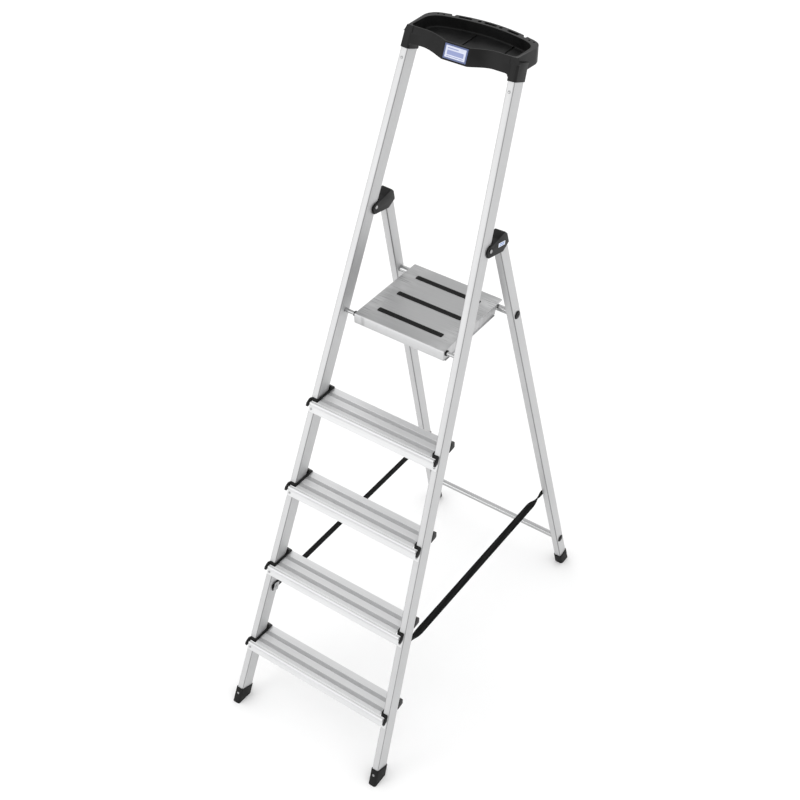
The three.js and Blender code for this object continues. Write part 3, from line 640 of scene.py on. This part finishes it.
for number, height in enumerate(TREAD_HEIGHTS, 1):
    here = LADDER @ Matrix.Translation((0, stile_face(height), height))
    piece(f"step_{number}", tread(height), tread_metal, "front_frame",
          [f"tread_{number}"], here)
    for name, sign in SIDES:
        level = front.side(sign, front.along(height)) @ Matrix.Rotation(FRONT_LEAN, 4, "X")
        piece(f"step_{number}_trim_{name}", tread_cap(-sign), plastic, "front_frame",
              [f"tread_{number}_end_cap_{name}"], level)
        face_rivet(f"step_{number}_rivet_{name}", sign, height - TREAD_RIVET_DROP, LIP_THICK + GAP + 0.1,
                   nodes=[f"tread_{number}_rivet_{name}"])


# ---- Feet ----
def shoe(width, depth, tube_start, top, side_matrix):
    """Slip-on sleeve, cut level with the floor, with shallow grooves across its sole."""
    outer = tube_outline(width, depth, TUBE_RADIUS, SHOE_WALL + GAP)
    solid = loose(prism(outer, -60, top))
    under = block(-600, 600, -1500, 1500, -400, 0)
    boolean(solid, [turned(under, side_matrix.inverted())])
    rounded(solid, 0.9, 3, 40)
    pocket = prism(tube_outline(width, depth, TUBE_RADIUS, GAP), tube_start - GAP, top + 40)
    grooves = []
    middle = side_matrix @ Vector((0, depth / 2, 0))
    for k in range(-2, 3):
        y = middle.y + 8 * k
        groove = block(middle.x - 30, middle.x + 30, y - 1, y + 1, -1, 1.2)
        grooves.append(turned(groove, side_matrix.inverted()))
    return boolean(solid, [pocket, *grooves])


for name, sign in SIDES:
    foot = shoe(STILE_WIDTH, STILE_DEPTH, STILE_START, SHOE_TOP_FRONT, front.side(sign))
    piece(f"front_shoe_{name}", foot, rubber, "front_frame", [f"front_foot_{name}"],
          front.side(sign))
    foot = shoe(LEG_WIDTH, LEG_DEPTH, LEG_START, SHOE_TOP_REAR, rear.side(sign))
    piece(f"rear_shoe_{name}", foot, rubber, "rear_frame", [f"rear_foot_{name}"],
          rear.side(sign))
    face_rivet(f"front_shoe_screw_{name}", sign, SCREW_Z, SHOE_WALL + GAP,
               nodes=[f"front_foot_screw_{name}"], screw=True)
    face_rivet(f"tool_tray_rivet_{name}", sign, TRAY_RIVET_Z, 0.1, nodes=[f"tray_rivet_{name}"])


# ---- Hinge housings and pins ----
def housing():
    """Clevis moulding on a leg's top end; its two cheeks reach forward over the stile."""
    lobe_y = HINGE_DEPTH - 0.5
    lobe, lobe_corner = 12.5, 10.5
    outline = fillet([
        (lobe_y - lobe, -lobe, lobe_corner), (5, -40, 4), (LEG_DEPTH + 2, -34, 3), (LEG_DEPTH + 2, -9, 6),
        (LEG_DEPTH - 5, 3.5, 6), (-2, 5, 12), (lobe_y - lobe, lobe, lobe_corner)], 7)
    solid = rounded(across(outline, HOUSING_HALF), 1.8, 4, 45)
    opening = FRONT_LEAN + REAR_LEAN
    back = HINGE_DEPTH + PIN_INSET + 1.6
    bend = Vector((back, -6.0))
    slot = [Vector((-90, -80)), Vector((back, -80)), bend,
            bend + Vector((60 * math.tan(opening), 60)), Vector((-90, 54))]
    pocket = block(-LEG_WIDTH / 2 - GAP, LEG_WIDTH / 2 + GAP, -GAP, LEG_DEPTH + GAP, -80, GAP - LEG_SHORT)
    tools = [across(slot, STILE_WIDTH / 2 + 1), pocket,
             rod(PIN_RADIUS + HOLE_CLEARANCE, 60, 0, HINGE_DEPTH, 0)]
    for side in (-1, 1):
        ring = hollow(circle(7.4, 40), circle(6.2, 40), -0.9, 0.9)
        tools.append(moved(turned(ring, AXIS_X), side * HOUSING_HALF, HINGE_DEPTH, 0))
    return boolean(solid, tools)


for name, sign in SIDES:
    piece(f"hinge_clevis_{name}", housing(), plastic, "rear_frame",
          [f"hinge_housing_{name}"], rear.side(sign, HINGE_S))
    span = HOUSING_HALF + 0.6
    right, left = [turned(rivet(4.6, 1.3, PIN_RADIUS, span, 0.45),
                          Matrix.Translation((end * span, 0, 0)) @ Matrix.Rotation(end * math.pi / 2, 4, "Y"))
                   for end in (1, -1)]
    pin = boolean(right, [left], "UNION")
    piece(f"hinge_rivet_{name}", pin, zinc, "front_frame", [f"hinge_pin_{name}"],
          LADDER @ Matrix.Translation((sign * centre_at(PIN_Z), PIN_Y, PIN_Z)))

# ---- Bars of the rear frame ----
for name, node, ends, z in (("platform_support_bar", "platform_rest_bar", "rest_bar", REST_BAR_Z),
                            ("lower_bar", "rear_crossbar", "crossbar", CROSSBAR_Z)):
    y = rear.depth_of(z, LEG_DEPTH / 2)
    half = centre_at(z) + LEG_WIDTH / 2 - 1
    bar = hollow(circle(BAR_RADIUS, 48), circle(BAR_RADIUS - BAR_WALL, 48), -half, half)
    piece(name, turned(bar, AXIS_X), bar_metal, "rear_frame", [node],
          LADDER @ Matrix.Translation((0, y, z)))
    for side, sign in SIDES:
        plug = lathe([(0, 5.0), (3, 4.9), (4.2, 4.6), (4.6, 4.2), (5.2, 4.4), (8, 4.0), (9.6, 3.1),
                      (10.4, 2.0), (10.5, 1.2), (10.2, 1.1), (6.2, 1.1), (6.2, -10), (5.6, -11),
                      (0, -11)], 40)
        piece(f"{ends}_plug_{side}", turned(plug, Matrix.Rotation(sign * math.pi / 2, 4, "Y")), plastic,
              "rear_frame", [f"{ends}_cap_{side}"],
              LADDER @ Matrix.Translation((sign * half, y, z)))


# ---- Platform ----
def grip_outline(y, grow=0.0):
    x, r = GRIP_HALF + grow, GRIP_WIDTH / 2 + grow
    return fillet([(px, py, GRIP_CORNER) for px, py in ((-x, y - r), (x, y - r), (x, y + r), (-x, y + r))], 6)


def platform():
    """Folded sheet: a deck with a lip in front and flanges with a hem at its sides."""
    x, y0, y1, low = PLATFORM_HALF, PLATFORM_FRONT, PLATFORM_REAR, PLATFORM_Z - PLATFORM_LIP
    solid = rounded(block(-x, x, y0, y1, low, PLATFORM_Z), 2.2, 4)
    bar_y = rear.depth_of(REST_BAR_Z, LEG_DEPTH / 2)
    inside = rounded(block(SHEET - x, x - SHEET, y0 + SHEET, y1 + 20, low - 20, PLATFORM_Z - SHEET), 1.2, 3)
    end = [Vector(p) for p in ((FLANGE_REAR - 4, low - 9), (FLANGE_REAR + 6, PLATFORM_Z - SHEET),
                               (y1 + 20, PLATFORM_Z - SHEET), (y1 + 20, low - 9))]
    boolean(solid, [inside, across(end, x + 5)])
    hems = []
    for sign in (-1, 1):
        near, far, top = sign * (x - 2), sign * (x + 2.2), low + 1.6
        hem = [Vector(p) for p in ((near, low), (far, low), (far, top), (near, top))]
        hems.append(rounded(along_depth(hem, y0 + 4, FLANGE_REAR - 3), 0.5))
    boolean(solid, hems, "UNION")
    tools = [prism(grip_outline(y, GAP), PLATFORM_Z - GRIP_DEPTH, PLATFORM_Z + 4) for y in GRIP_Y]
    tools.append(rod(AXLE_RADIUS + GAP, 400, 0, AXLE_Y, AXLE_Z))
    boolean(solid, tools)
    saddle = fillet([(bar_y - 7, PLATFORM_Z - SHEET - 0.2), (bar_y - 7, REST_BAR_Z + BAR_RADIUS + 0.3, 0.8),
                     (bar_y + 7, REST_BAR_Z + BAR_RADIUS + 0.3, 0.8), (bar_y + 7, PLATFORM_Z - SHEET - 0.2)])
    return solid, across(saddle, x - 8)


deck, saddle = platform()
piece("deck_plate", deck, deck_metal, "platform", ["platform_deck"])
piece("deck_saddle", saddle, plastic, "platform", [])
for name, y in zip(("front", "middle", "rear"), GRIP_Y):
    strip = prism(grip_outline(y), PLATFORM_Z - GRIP_DEPTH + 0.1, PLATFORM_Z + GRIP_PROUD)
    strip = rounded(strip, 0.5, 2, 60)
    end, top = GRIP_HALF - 6, PLATFORM_Z + 2
    grooves = [block(-end, end, y + d - 0.35, y + d + 0.35, PLATFORM_Z + 0.5, top)
               for d in (-3.2, -1.1, 1.1, 3.2)]
    piece(f"deck_grip_{name}", boolean(strip, grooves), rubber, "platform",
          [f"platform_grip_{name}"])
axle_half = centre_at(AXLE_Z) + 4
axle = lathe([(0, axle_half), (AXLE_RADIUS - 0.6, axle_half), (AXLE_RADIUS, axle_half - 0.6),
              (AXLE_RADIUS, 0.6 - axle_half), (AXLE_RADIUS - 0.6, -axle_half), (0, -axle_half)], 40)
piece("deck_axle", turned(axle, AXIS_X), zinc, "front_frame", ["platform_axle"],
      LADDER @ Matrix.Translation((0, AXLE_Y, AXLE_Z)))
for name, sign in SIDES:
    bush = hollow(circle(6.9, 40), circle(AXLE_RADIUS + 0.15, 40), 0.05, 3.2)
    bush = rounded(turned(bush, Matrix.Rotation(sign * math.pi / 2, 4, "Y")), 0.5)
    piece(f"deck_bush_{name}", bush, plastic, "platform", [],
          LADDER @ Matrix.Translation((sign * PLATFORM_HALF, AXLE_Y, AXLE_Z)))

# ---- Straps ----
def ease(share):
    """Smooth step from 0 to 1."""
    share = min(1, max(0, share))
    return share * share * (3 - 2 * share)


def webbing_material():
    """Woven band: fine cross threads and a coarser warp along it."""
    n = Nodes("woven_webbing")
    weft = n.add("ShaderNodeTexWave", Scale=1.0, Distortion=0.6, Detail=1.0, bands_direction="Y")
    n.link(n.place((1, 260, 1)), weft.inputs["Vector"])
    warp = n.add("ShaderNodeTexWave", Scale=1.0, Distortion=0.4, Detail=1.0, bands_direction="Z")
    n.link(n.place((1, 1, 330)), warp.inputs["Vector"])
    weave = n.math("MULTIPLY", weft.outputs["Fac"], warp.outputs["Fac"])
    n.link(n.blend(weave, grey(0.005), grey(0.016)), n.shader.inputs["Base Color"])
    n.link(n.spread(n.noise((60,) * 3), 0.72, 0.9), n.shader.inputs["Roughness"])
    n.shader.inputs["Specular IOR Level"].default_value = 0.1
    n.bump(weave, 0.0003)
    return n.material


webbing = webbing_material()


def strap_solid(start, end, twist):
    """Flat band between two points, turned about its length between its two flat ends."""
    length = (end - start).length
    direction = (end - start).normalized()
    x, z = STRAP_THICK / 2, STRAP_WIDTH / 2
    section = fillet([(-x, -z, 0.5), (x, -z, 0.5), (x, z, 0.5), (-x, z, 0.5)], 2)
    rings = []
    for k in range(STRAP_STEPS + 1):
        run = (length + 2 * STRAP_END) * k / STRAP_STEPS - STRAP_END
        share = min(ease((run - 20) / 70), ease((length - run - 16) / 62))
        turn = Matrix.Rotation(twist * share, 3, "Y")
        rings.append([start + direction * run + turn @ Vector((p.x, 0, p.y)) for p in section])
    return skin(rings)


def inner_face(frame_axes, sign, z, depth, width):
    """Axes on a tube's inner face, Z pointing away from it."""
    face = frame_axes.side(sign, frame_axes.along(z, depth), depth)
    return face @ Matrix.Translation((-sign * width / 2, 0, 0)) @ Matrix.Rotation(-sign * math.pi / 2, 4, "Y")


for name, sign in SIDES:
    clear = STRAP_GAP + STRAP_THICK / 2
    start = Vector((sign * (centre_at(STRAP_Z) - STILE_WIDTH / 2 - clear),
                    front.depth_of(STRAP_Z, STRAP_FRONT_DEPTH), STRAP_Z))
    end = Vector((sign * (centre_at(STRAP_REAR_Z) - LEG_WIDTH / 2 - clear),
                  rear.depth_of(STRAP_REAR_Z, STRAP_REAR_DEPTH), STRAP_REAR_Z))
    band = piece(f"webbing_strap_{name}", strap_solid(start, end, STRAP_TWIST[name]), webbing, None,
                 [f"strap_{name}"])
    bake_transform(band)
    plate_offset = STRAP_GAP + STRAP_THICK + PLATE_GAP
    plate = prism(fillet([(-12, -9, 3), (12, -9, 3), (12, 9, 3), (-12, 9, 3)]), 0, PLATE_THICK)
    inner = inner_face(front, sign, STRAP_Z, STRAP_FRONT_DEPTH, STILE_WIDTH)
    piece(f"webbing_plate_{name}", rounded(plate, 0.4), zinc, "front_frame", [f"strap_plate_{name}"],
          inner @ Matrix.Translation((0, 0, plate_offset)))
    piece(f"webbing_front_rivet_{name}", rivet(4.6, 1.7, 2, plate_offset + 6), zinc, "front_frame",
          [f"strap_front_rivet_{name}"], inner @ Matrix.Translation((0, 0, plate_offset + PLATE_THICK + 0.1)))
    inner = inner_face(rear, sign, STRAP_REAR_Z, STRAP_REAR_DEPTH, LEG_WIDTH)
    piece(f"webbing_rear_rivet_{name}", rivet(7, 1.8, 2, plate_offset + 4, 0.3), zinc, "rear_frame",
          [f"strap_rear_rivet_{name}"], inner @ Matrix.Translation((0, 0, plate_offset - 0.6)))


# ---- Tool tray ----
def mirrored(half):
    """Outline with its left half mirrored from the right one, which runs from the front to the rear."""
    return half + [Vector((-p.x, p.y)) for p in reversed(half) if p.x > 0.01]


def front_curve(inset):
    """Front wall from the panel to the straight part beside a stile."""
    panel, straight = TRAY_PANEL + inset, TRAY_FRONT + inset
    start = (PANEL_HALF, panel)
    return [Vector(start)] + curve(start, (60, straight), (STRAIGHT_FROM, straight), 14)


def tray_outline(inset):
    x, front_y, rear_y = TRAY_HALF - inset, TRAY_FRONT + inset, TRAY_REAR - inset
    shoulder, corner = TRAY_REAR - 18 - inset, TRAY_REAR - 54
    half = front_curve(inset)
    half += fillet([(STRAIGHT_FROM, front_y), (x - FRONT_INSET, front_y, 3.5), (x, corner)], 5)[1:]
    half += curve((x, corner), (x - 1.5, shoulder - 7), (SHOULDER_HALF, shoulder), 16)
    whole = curve((SHOULDER_HALF, shoulder), (0, 2 * rear_y - shoulder),
                  (-SHOULDER_HALF, shoulder), 60)
    return mirrored(half + [p for p in whole if p.x > -0.01])


def bowl_outline(corner, grow=0.0):
    x, front_y = BOWL_HALF + grow, TRAY_FRONT + TRAY_WALL - grow
    rear_y = TRAY_REAR - TRAY_LEDGE + grow
    shoulder, side = rear_y - 11, rear_y - 51
    half = front_curve(TRAY_WALL - grow)
    half += curve((x - corner, front_y), (x, front_y), (x, front_y + corner), 12)
    half += curve((x, side), (x, shoulder - 8), (BOWL_SHOULDER_HALF, shoulder), 16)
    whole = curve((BOWL_SHOULDER_HALF, shoulder), (0, 2 * rear_y - shoulder),
                  (-BOWL_SHOULDER_HALF, shoulder), 50)
    return mirrored(half + [p for p in whole if p.x > -0.01])


def tray_solid(outline, low, high):
    """Prism of a plan outline whose front leans with the stiles; the lean fades out towards the rear."""
    rings = []
    levels = 6
    for k in range(levels + 1):
        z = low + (high - low) * k / levels
        lean = (z - TRAY_RIM) * math.tan(FRONT_LEAN)
        rings.append([Vector((p.x, p.y + lean * min(1, max(0, (690 - p.y) / 50)), z)) for p in outline])
    return skin(rings)


def rim_edge(x):
    """Depth of the middle line of the ledge."""
    return TRAY_REAR - 9 - 18 * (x / SHOULDER_HALF) ** 2


def tray_cutters():
    """Bowl, shelf in its front corners, hollow under the ledge, and the ledge's slots, holes and notches."""
    base, tall = TRAY_RIM - TRAY_HEIGHT, TRAY_HEIGHT + 20
    middle = TRAY_RIM - TRAY_HEIGHT / 2
    tools = [rounded(tray_solid(bowl_outline(LOWER_CORNER), base + TRAY_WALL, TRAY_RIM + 20), 3, 3, 60),
             tray_solid(bowl_outline(UPPER_CORNER), TRAY_RIM - CORNER_SHELF, TRAY_RIM + 20)]
    under = boolean(prism(tray_outline(TRAY_WALL), base - 10, TRAY_RIM - TRAY_DROOP - TRAY_WALL),
                    [prism(bowl_outline(LOWER_CORNER, TRAY_WALL), base - 20, TRAY_RIM + 20),
                     block(-200, 200, 500, TRAY_REAR - 52, base - 20, TRAY_RIM + 20)])
    tools.append(under)
    oval = fillet([(-15, -4, 2), (15, -4, 2), (15, 4, 2), (-15, 4, 2)])
    for x in (-59, 0, 59):
        turn = Matrix.Rotation(-math.copysign(0.19, x) if x else 0, 4, "Z")
        tools.append(turned(prism(oval, middle - tall / 2, middle + tall / 2),
                            Matrix.Translation((x, rim_edge(x), 0)) @ turn))
    for sign in (-1, 1):
        for x, radius in ((26, 4.2), (105, 2.6), (118, 2.6)):
            y = rim_edge(x) + (2 if x == 118 else 0)
            tools.append(prism(circle(radius, 28, sign * x, y), middle - tall / 2, middle + tall / 2))
        x, y = sign * 88, rim_edge(88)
        notch = fillet([(x - 4.5, y + 1, 1.5), (x + 4.5, y + 1, 1.5), (x + 5.5, y + 22), (x - 5.5, y + 22)])
        tools.append(prism(notch, TRAY_RIM - 24, TRAY_RIM + 5))
    return tools


def socket(sign):
    """Sleeve over a stile's top end, the fillet beside it, and the pilaster above it."""
    grow = SHOE_WALL + GAP
    x = STILE_WIDTH / 2 + grow
    bottom, ceiling = front.along(SOCKET_BOTTOM), front.along(STILE_TOP) + GAP
    matrix = LADDER.inverted() @ front.side(sign)
    sleeve = prism(tube_outline(STILE_WIDTH, STILE_DEPTH, TUBE_RADIUS, grow), bottom, ceiling + 6)
    inner, radius = -sign * x, 5.0
    start = front.along(TRAY_RIM - TRAY_HEIGHT)
    arc = [Vector((inner - sign * radius * (1 - math.cos(a)), start - radius * (1 - math.sin(a))))
           for a in (math.pi / 2 * (1 - k / 8) for k in range(9))]
    arc = [Vector((inner + sign * 2, start + 2)), Vector((inner - sign * radius, start + 2)), *arc,
           Vector((inner + sign * 2, start - radius))]
    corner = skin([[Vector((p.x, y, p.y)) for p in arc] for y in (-grow + 0.95, 0.6)])
    pilaster = block(-x, x, -grow, 2.6, ceiling, front.along(TRAY_RIM) - 0.2)
    return [turned(part, matrix) for part in (sleeve, corner, pilaster)]


def socket_pocket(sign):
    bottom, ceiling = front.along(SOCKET_BOTTOM), front.along(STILE_TOP) + GAP
    pocket = prism(tube_outline(STILE_WIDTH, STILE_DEPTH, TUBE_RADIUS, GAP), bottom - 20, ceiling)
    return turned(pocket, LADDER.inverted() @ front.side(sign))


def panel_share(x):
    """1 across the front wall's middle panel, falling to 0 beside it."""
    return ease((STRAIGHT_FROM - abs(x)) / (STRAIGHT_FROM - PANEL_HALF))


def tray_apron(base):
    """Strip under the middle of the front wall, deepest below the panel."""
    wall, outer = front_curve(TRAY_WALL), front_curve(0)
    far_wall, far_outer = [[Vector((-p.x, p.y)) for p in side] for side in (wall, outer)]
    strip = far_outer[::-1] + outer + wall[::-1] + far_wall
    below = [Vector((x, base - APRON * panel_share(x))) for x in range(-90, 91, 3)]
    below += [Vector((90, base - 60)), Vector((-90, base - 60))]
    return boolean(tray_solid(strip, base - APRON - 1, base + 1), [along_depth(below, 500, 700)])


def rim_cutters():
    """What is cut from the rim: its fall to the rear, its dip over the panel, its narrowed front corners."""
    slope = TRAY_DROOP / (TRAY_REAR - TRAY_FRONT)
    above = [Vector((TRAY_FRONT + run, TRAY_RIM - slope * run)) for run in (0, 180)]
    above += [Vector((TRAY_FRONT + 180, TRAY_RIM + 20)), Vector((TRAY_FRONT, TRAY_RIM + 20))]
    dip = [Vector((x, TRAY_RIM - RIM_DIP * panel_share(x))) for x in range(-90, 91, 3)]
    dip += [Vector((90, TRAY_RIM + 40)), Vector((-90, TRAY_RIM + 40))]
    tools = [across(above, 200), along_depth(dip, 500, TRAY_FRONT + 3)]
    for sign in (-1, 1):
        rings = []
        for y, shift in ((560, -5.0), (700, 4.5)):
            corners = ((139.6 + shift, 1650), (134.2 + shift, 1663), (170, 1663), (170, 1650))
            rings.append([Vector((sign * x, y, z)) for x, z in corners])
        tools.append(skin(rings))
    return tools


def tray():
    """One moulding: bowl and ledge, skirt, apron, stile sockets and the ribs on its floor."""
    base = TRAY_RIM - TRAY_HEIGHT
    shell = boolean(tray_solid(tray_outline(0), base, TRAY_RIM), tray_cutters())
    skirt = boolean(prism(tray_outline(0), base - SKIRT_DEPTH, base + 1),
                    [block(SKIRT_WIDTH - TRAY_HALF, TRAY_HALF - SKIRT_WIDTH, 500, 900, base - 50, base + 50),
                     block(-200, 200, 500, SKIRT_FRONT, base - 50, base + 50)])
    rounded(skirt, 2.5, 3, 60)
    sockets = [part for sign in (-1, 1) for part in socket(sign)]
    boolean(shell, [skirt, tray_apron(base), *sockets], "UNION")
    floor_z = base + TRAY_WALL
    ribs = [block(x - 0.9, x + 0.9, y, 728, floor_z - 1, floor_z + 2.2) for x, y in ((-22, 611), (70, 628))]
    ribs += [prism(circle(6, 32, 46, 672), floor_z - 1, floor_z + 5)]
    boolean(shell, ribs, "UNION")
    tools = [*rim_cutters(), *[socket_pocket(sign) for sign in (-1, 1)]]
    for sign in (-1, 1):
        s = front.along(TRAY_RIM)
        groove = block(-sign * 10.2 - 0.6, -sign * 10.2 + 0.6, -5, -SHOE_WALL - GAP + 0.55, s - 42, s + 10)
        tools.append(turned(groove, LADDER.inverted() @ front.side(sign)))
    boolean(shell, tools)
    return rounded(shell, 0.8, 3, 40)


piece("tool_tray_moulding", tray(), plastic, "front_frame", ["tool_tray"])


# ---- Labels ----
def label_material(name, across_axis, up_axis, half_width, half_height, bars, ground, ink, edge_ink):
    """Printed film: a pale ground, an inked border and plain bars, in the label's own axes."""
    n = Nodes(name)
    axes = n.axes()
    u, v = axes[across_axis], axes[up_axis]
    inside = n.math("MULTIPLY", n.band(u, -half_width, half_width), n.band(v, -half_height, half_height))
    colour = n.blend(n.spread(n.noise((90,) * 3), 0.0, 1.0), ground[0], ground[1])
    for left, right, low, high in bars:
        colour = n.tint(n.math("MULTIPLY", n.band(u, left, right), n.band(v, low, high)), colour, ink)
    colour = n.tint(n.math("SUBTRACT", 1.0, inside), colour, edge_ink)
    n.link(colour, n.shader.inputs["Base Color"])
    n.link(n.spread(n.noise((40,) * 3), 0.3, 0.42), n.shader.inputs["Roughness"])
    return n.material


tray_print = label_material(
    "tray_label_print", 0, 2, 24.4, 12.0,
    [(-20, 20, -6.0, 3.2), (-20, 6, 6.2, 8.2), (-20, 20, -9.6, -8.2)],
    ((0.55, 0.58, 0.70), (0.66, 0.69, 0.80)), (0.24, 0.28, 0.50), (0.09, 0.12, 0.26))
hinge_print = label_material(
    "hinge_label_print", 1, 2, 12.6, 4.3, [(-10, 10, 0.9, 3.0), (-10, 10, -3.0, -0.9)],
    ((0.72, 0.76, 0.84), (0.84, 0.87, 0.92)), (0.10, 0.22, 0.55), (0.72, 0.76, 0.84))

label_depth = (TRAY_PANEL - stile_face(TRAY_RIM)) * math.cos(FRONT_LEAN) - GAP
plate = rounded(block(-28, 28, -0.9, 0.05, -15.4, 15.4), 0.35)
piece("tray_sticker", plate, tray_print, "front_frame", ["tray_label"],
      front.matrix @ Matrix.Translation((0, label_depth, front.along(LABEL_Z, label_depth))))
plate = rounded(block(-0.3, 0.25, -13, 13, -4.7, 4.7), 0.15)
cheek = rear.side(1, HINGE_S - 16, 5) @ Matrix.Translation((HOUSING_HALF + 0.4, 0, 0))
piece("hinge_sticker", plate, hinge_print, "rear_frame", ["hinge_label"],
      cheek @ Matrix.Rotation(-0.46, 4, "X"))

# ---- Camera ----
camera = bpy.data.objects.new("camera", bpy.data.cameras.new("camera"))
bpy.context.scene.collection.objects.link(camera)
camera.matrix_world = (
    Matrix.Translation((1.386, -2.045, 2.904))
    @ Matrix.Rotation(math.radians(34.81), 4, "Z")
    @ Matrix.Rotation(math.radians(90 - 40.28), 4, "X")
    @ Matrix.Rotation(math.radians(0.43), 4, "Z")
)
camera.data.sensor_width = 36
camera.data.lens = 61.45
bpy.context.scene.camera = camera


# ---- Light and floor ----
def softbox(name, place, target, width, height, power):
    lamp = bpy.data.lights.new(name, "AREA")
    lamp.shape = "RECTANGLE"
    lamp.size, lamp.size_y, lamp.energy = width, height, power
    obj = bpy.data.objects.new(name, lamp)
    bpy.context.scene.collection.objects.link(obj)
    obj.location = place
    obj.rotation_euler = (Vector(target) - Vector(place)).to_track_quat("-Z", "Y").to_euler()


bpy.context.scene.view_settings.view_transform = "Standard"
world = bpy.data.worlds.new("studio")
bpy.context.scene.world = world
world.use_nodes = True
background = world.node_tree.nodes["Background"]
background.inputs["Color"].default_value = (1, 1, 1, 1)
background.inputs["Strength"].default_value = 1.12
softbox("key_light", (-1.9, -3.8, 1.9), (0, 0, 1.3), 2.2, 1.8, 25)
bpy.ops.mesh.primitive_plane_add(size=60)
floor = bpy.context.object
floor.name = "floor"
n = Nodes("floor_paint")
n.link(n.blend(n.noise((2.0,) * 3), (0.95, 0.95, 0.95), (0.97, 0.97, 0.97)), n.shader.inputs["Base Color"])
n.set(Roughness=0.9)
floor.data.materials.append(n.material)
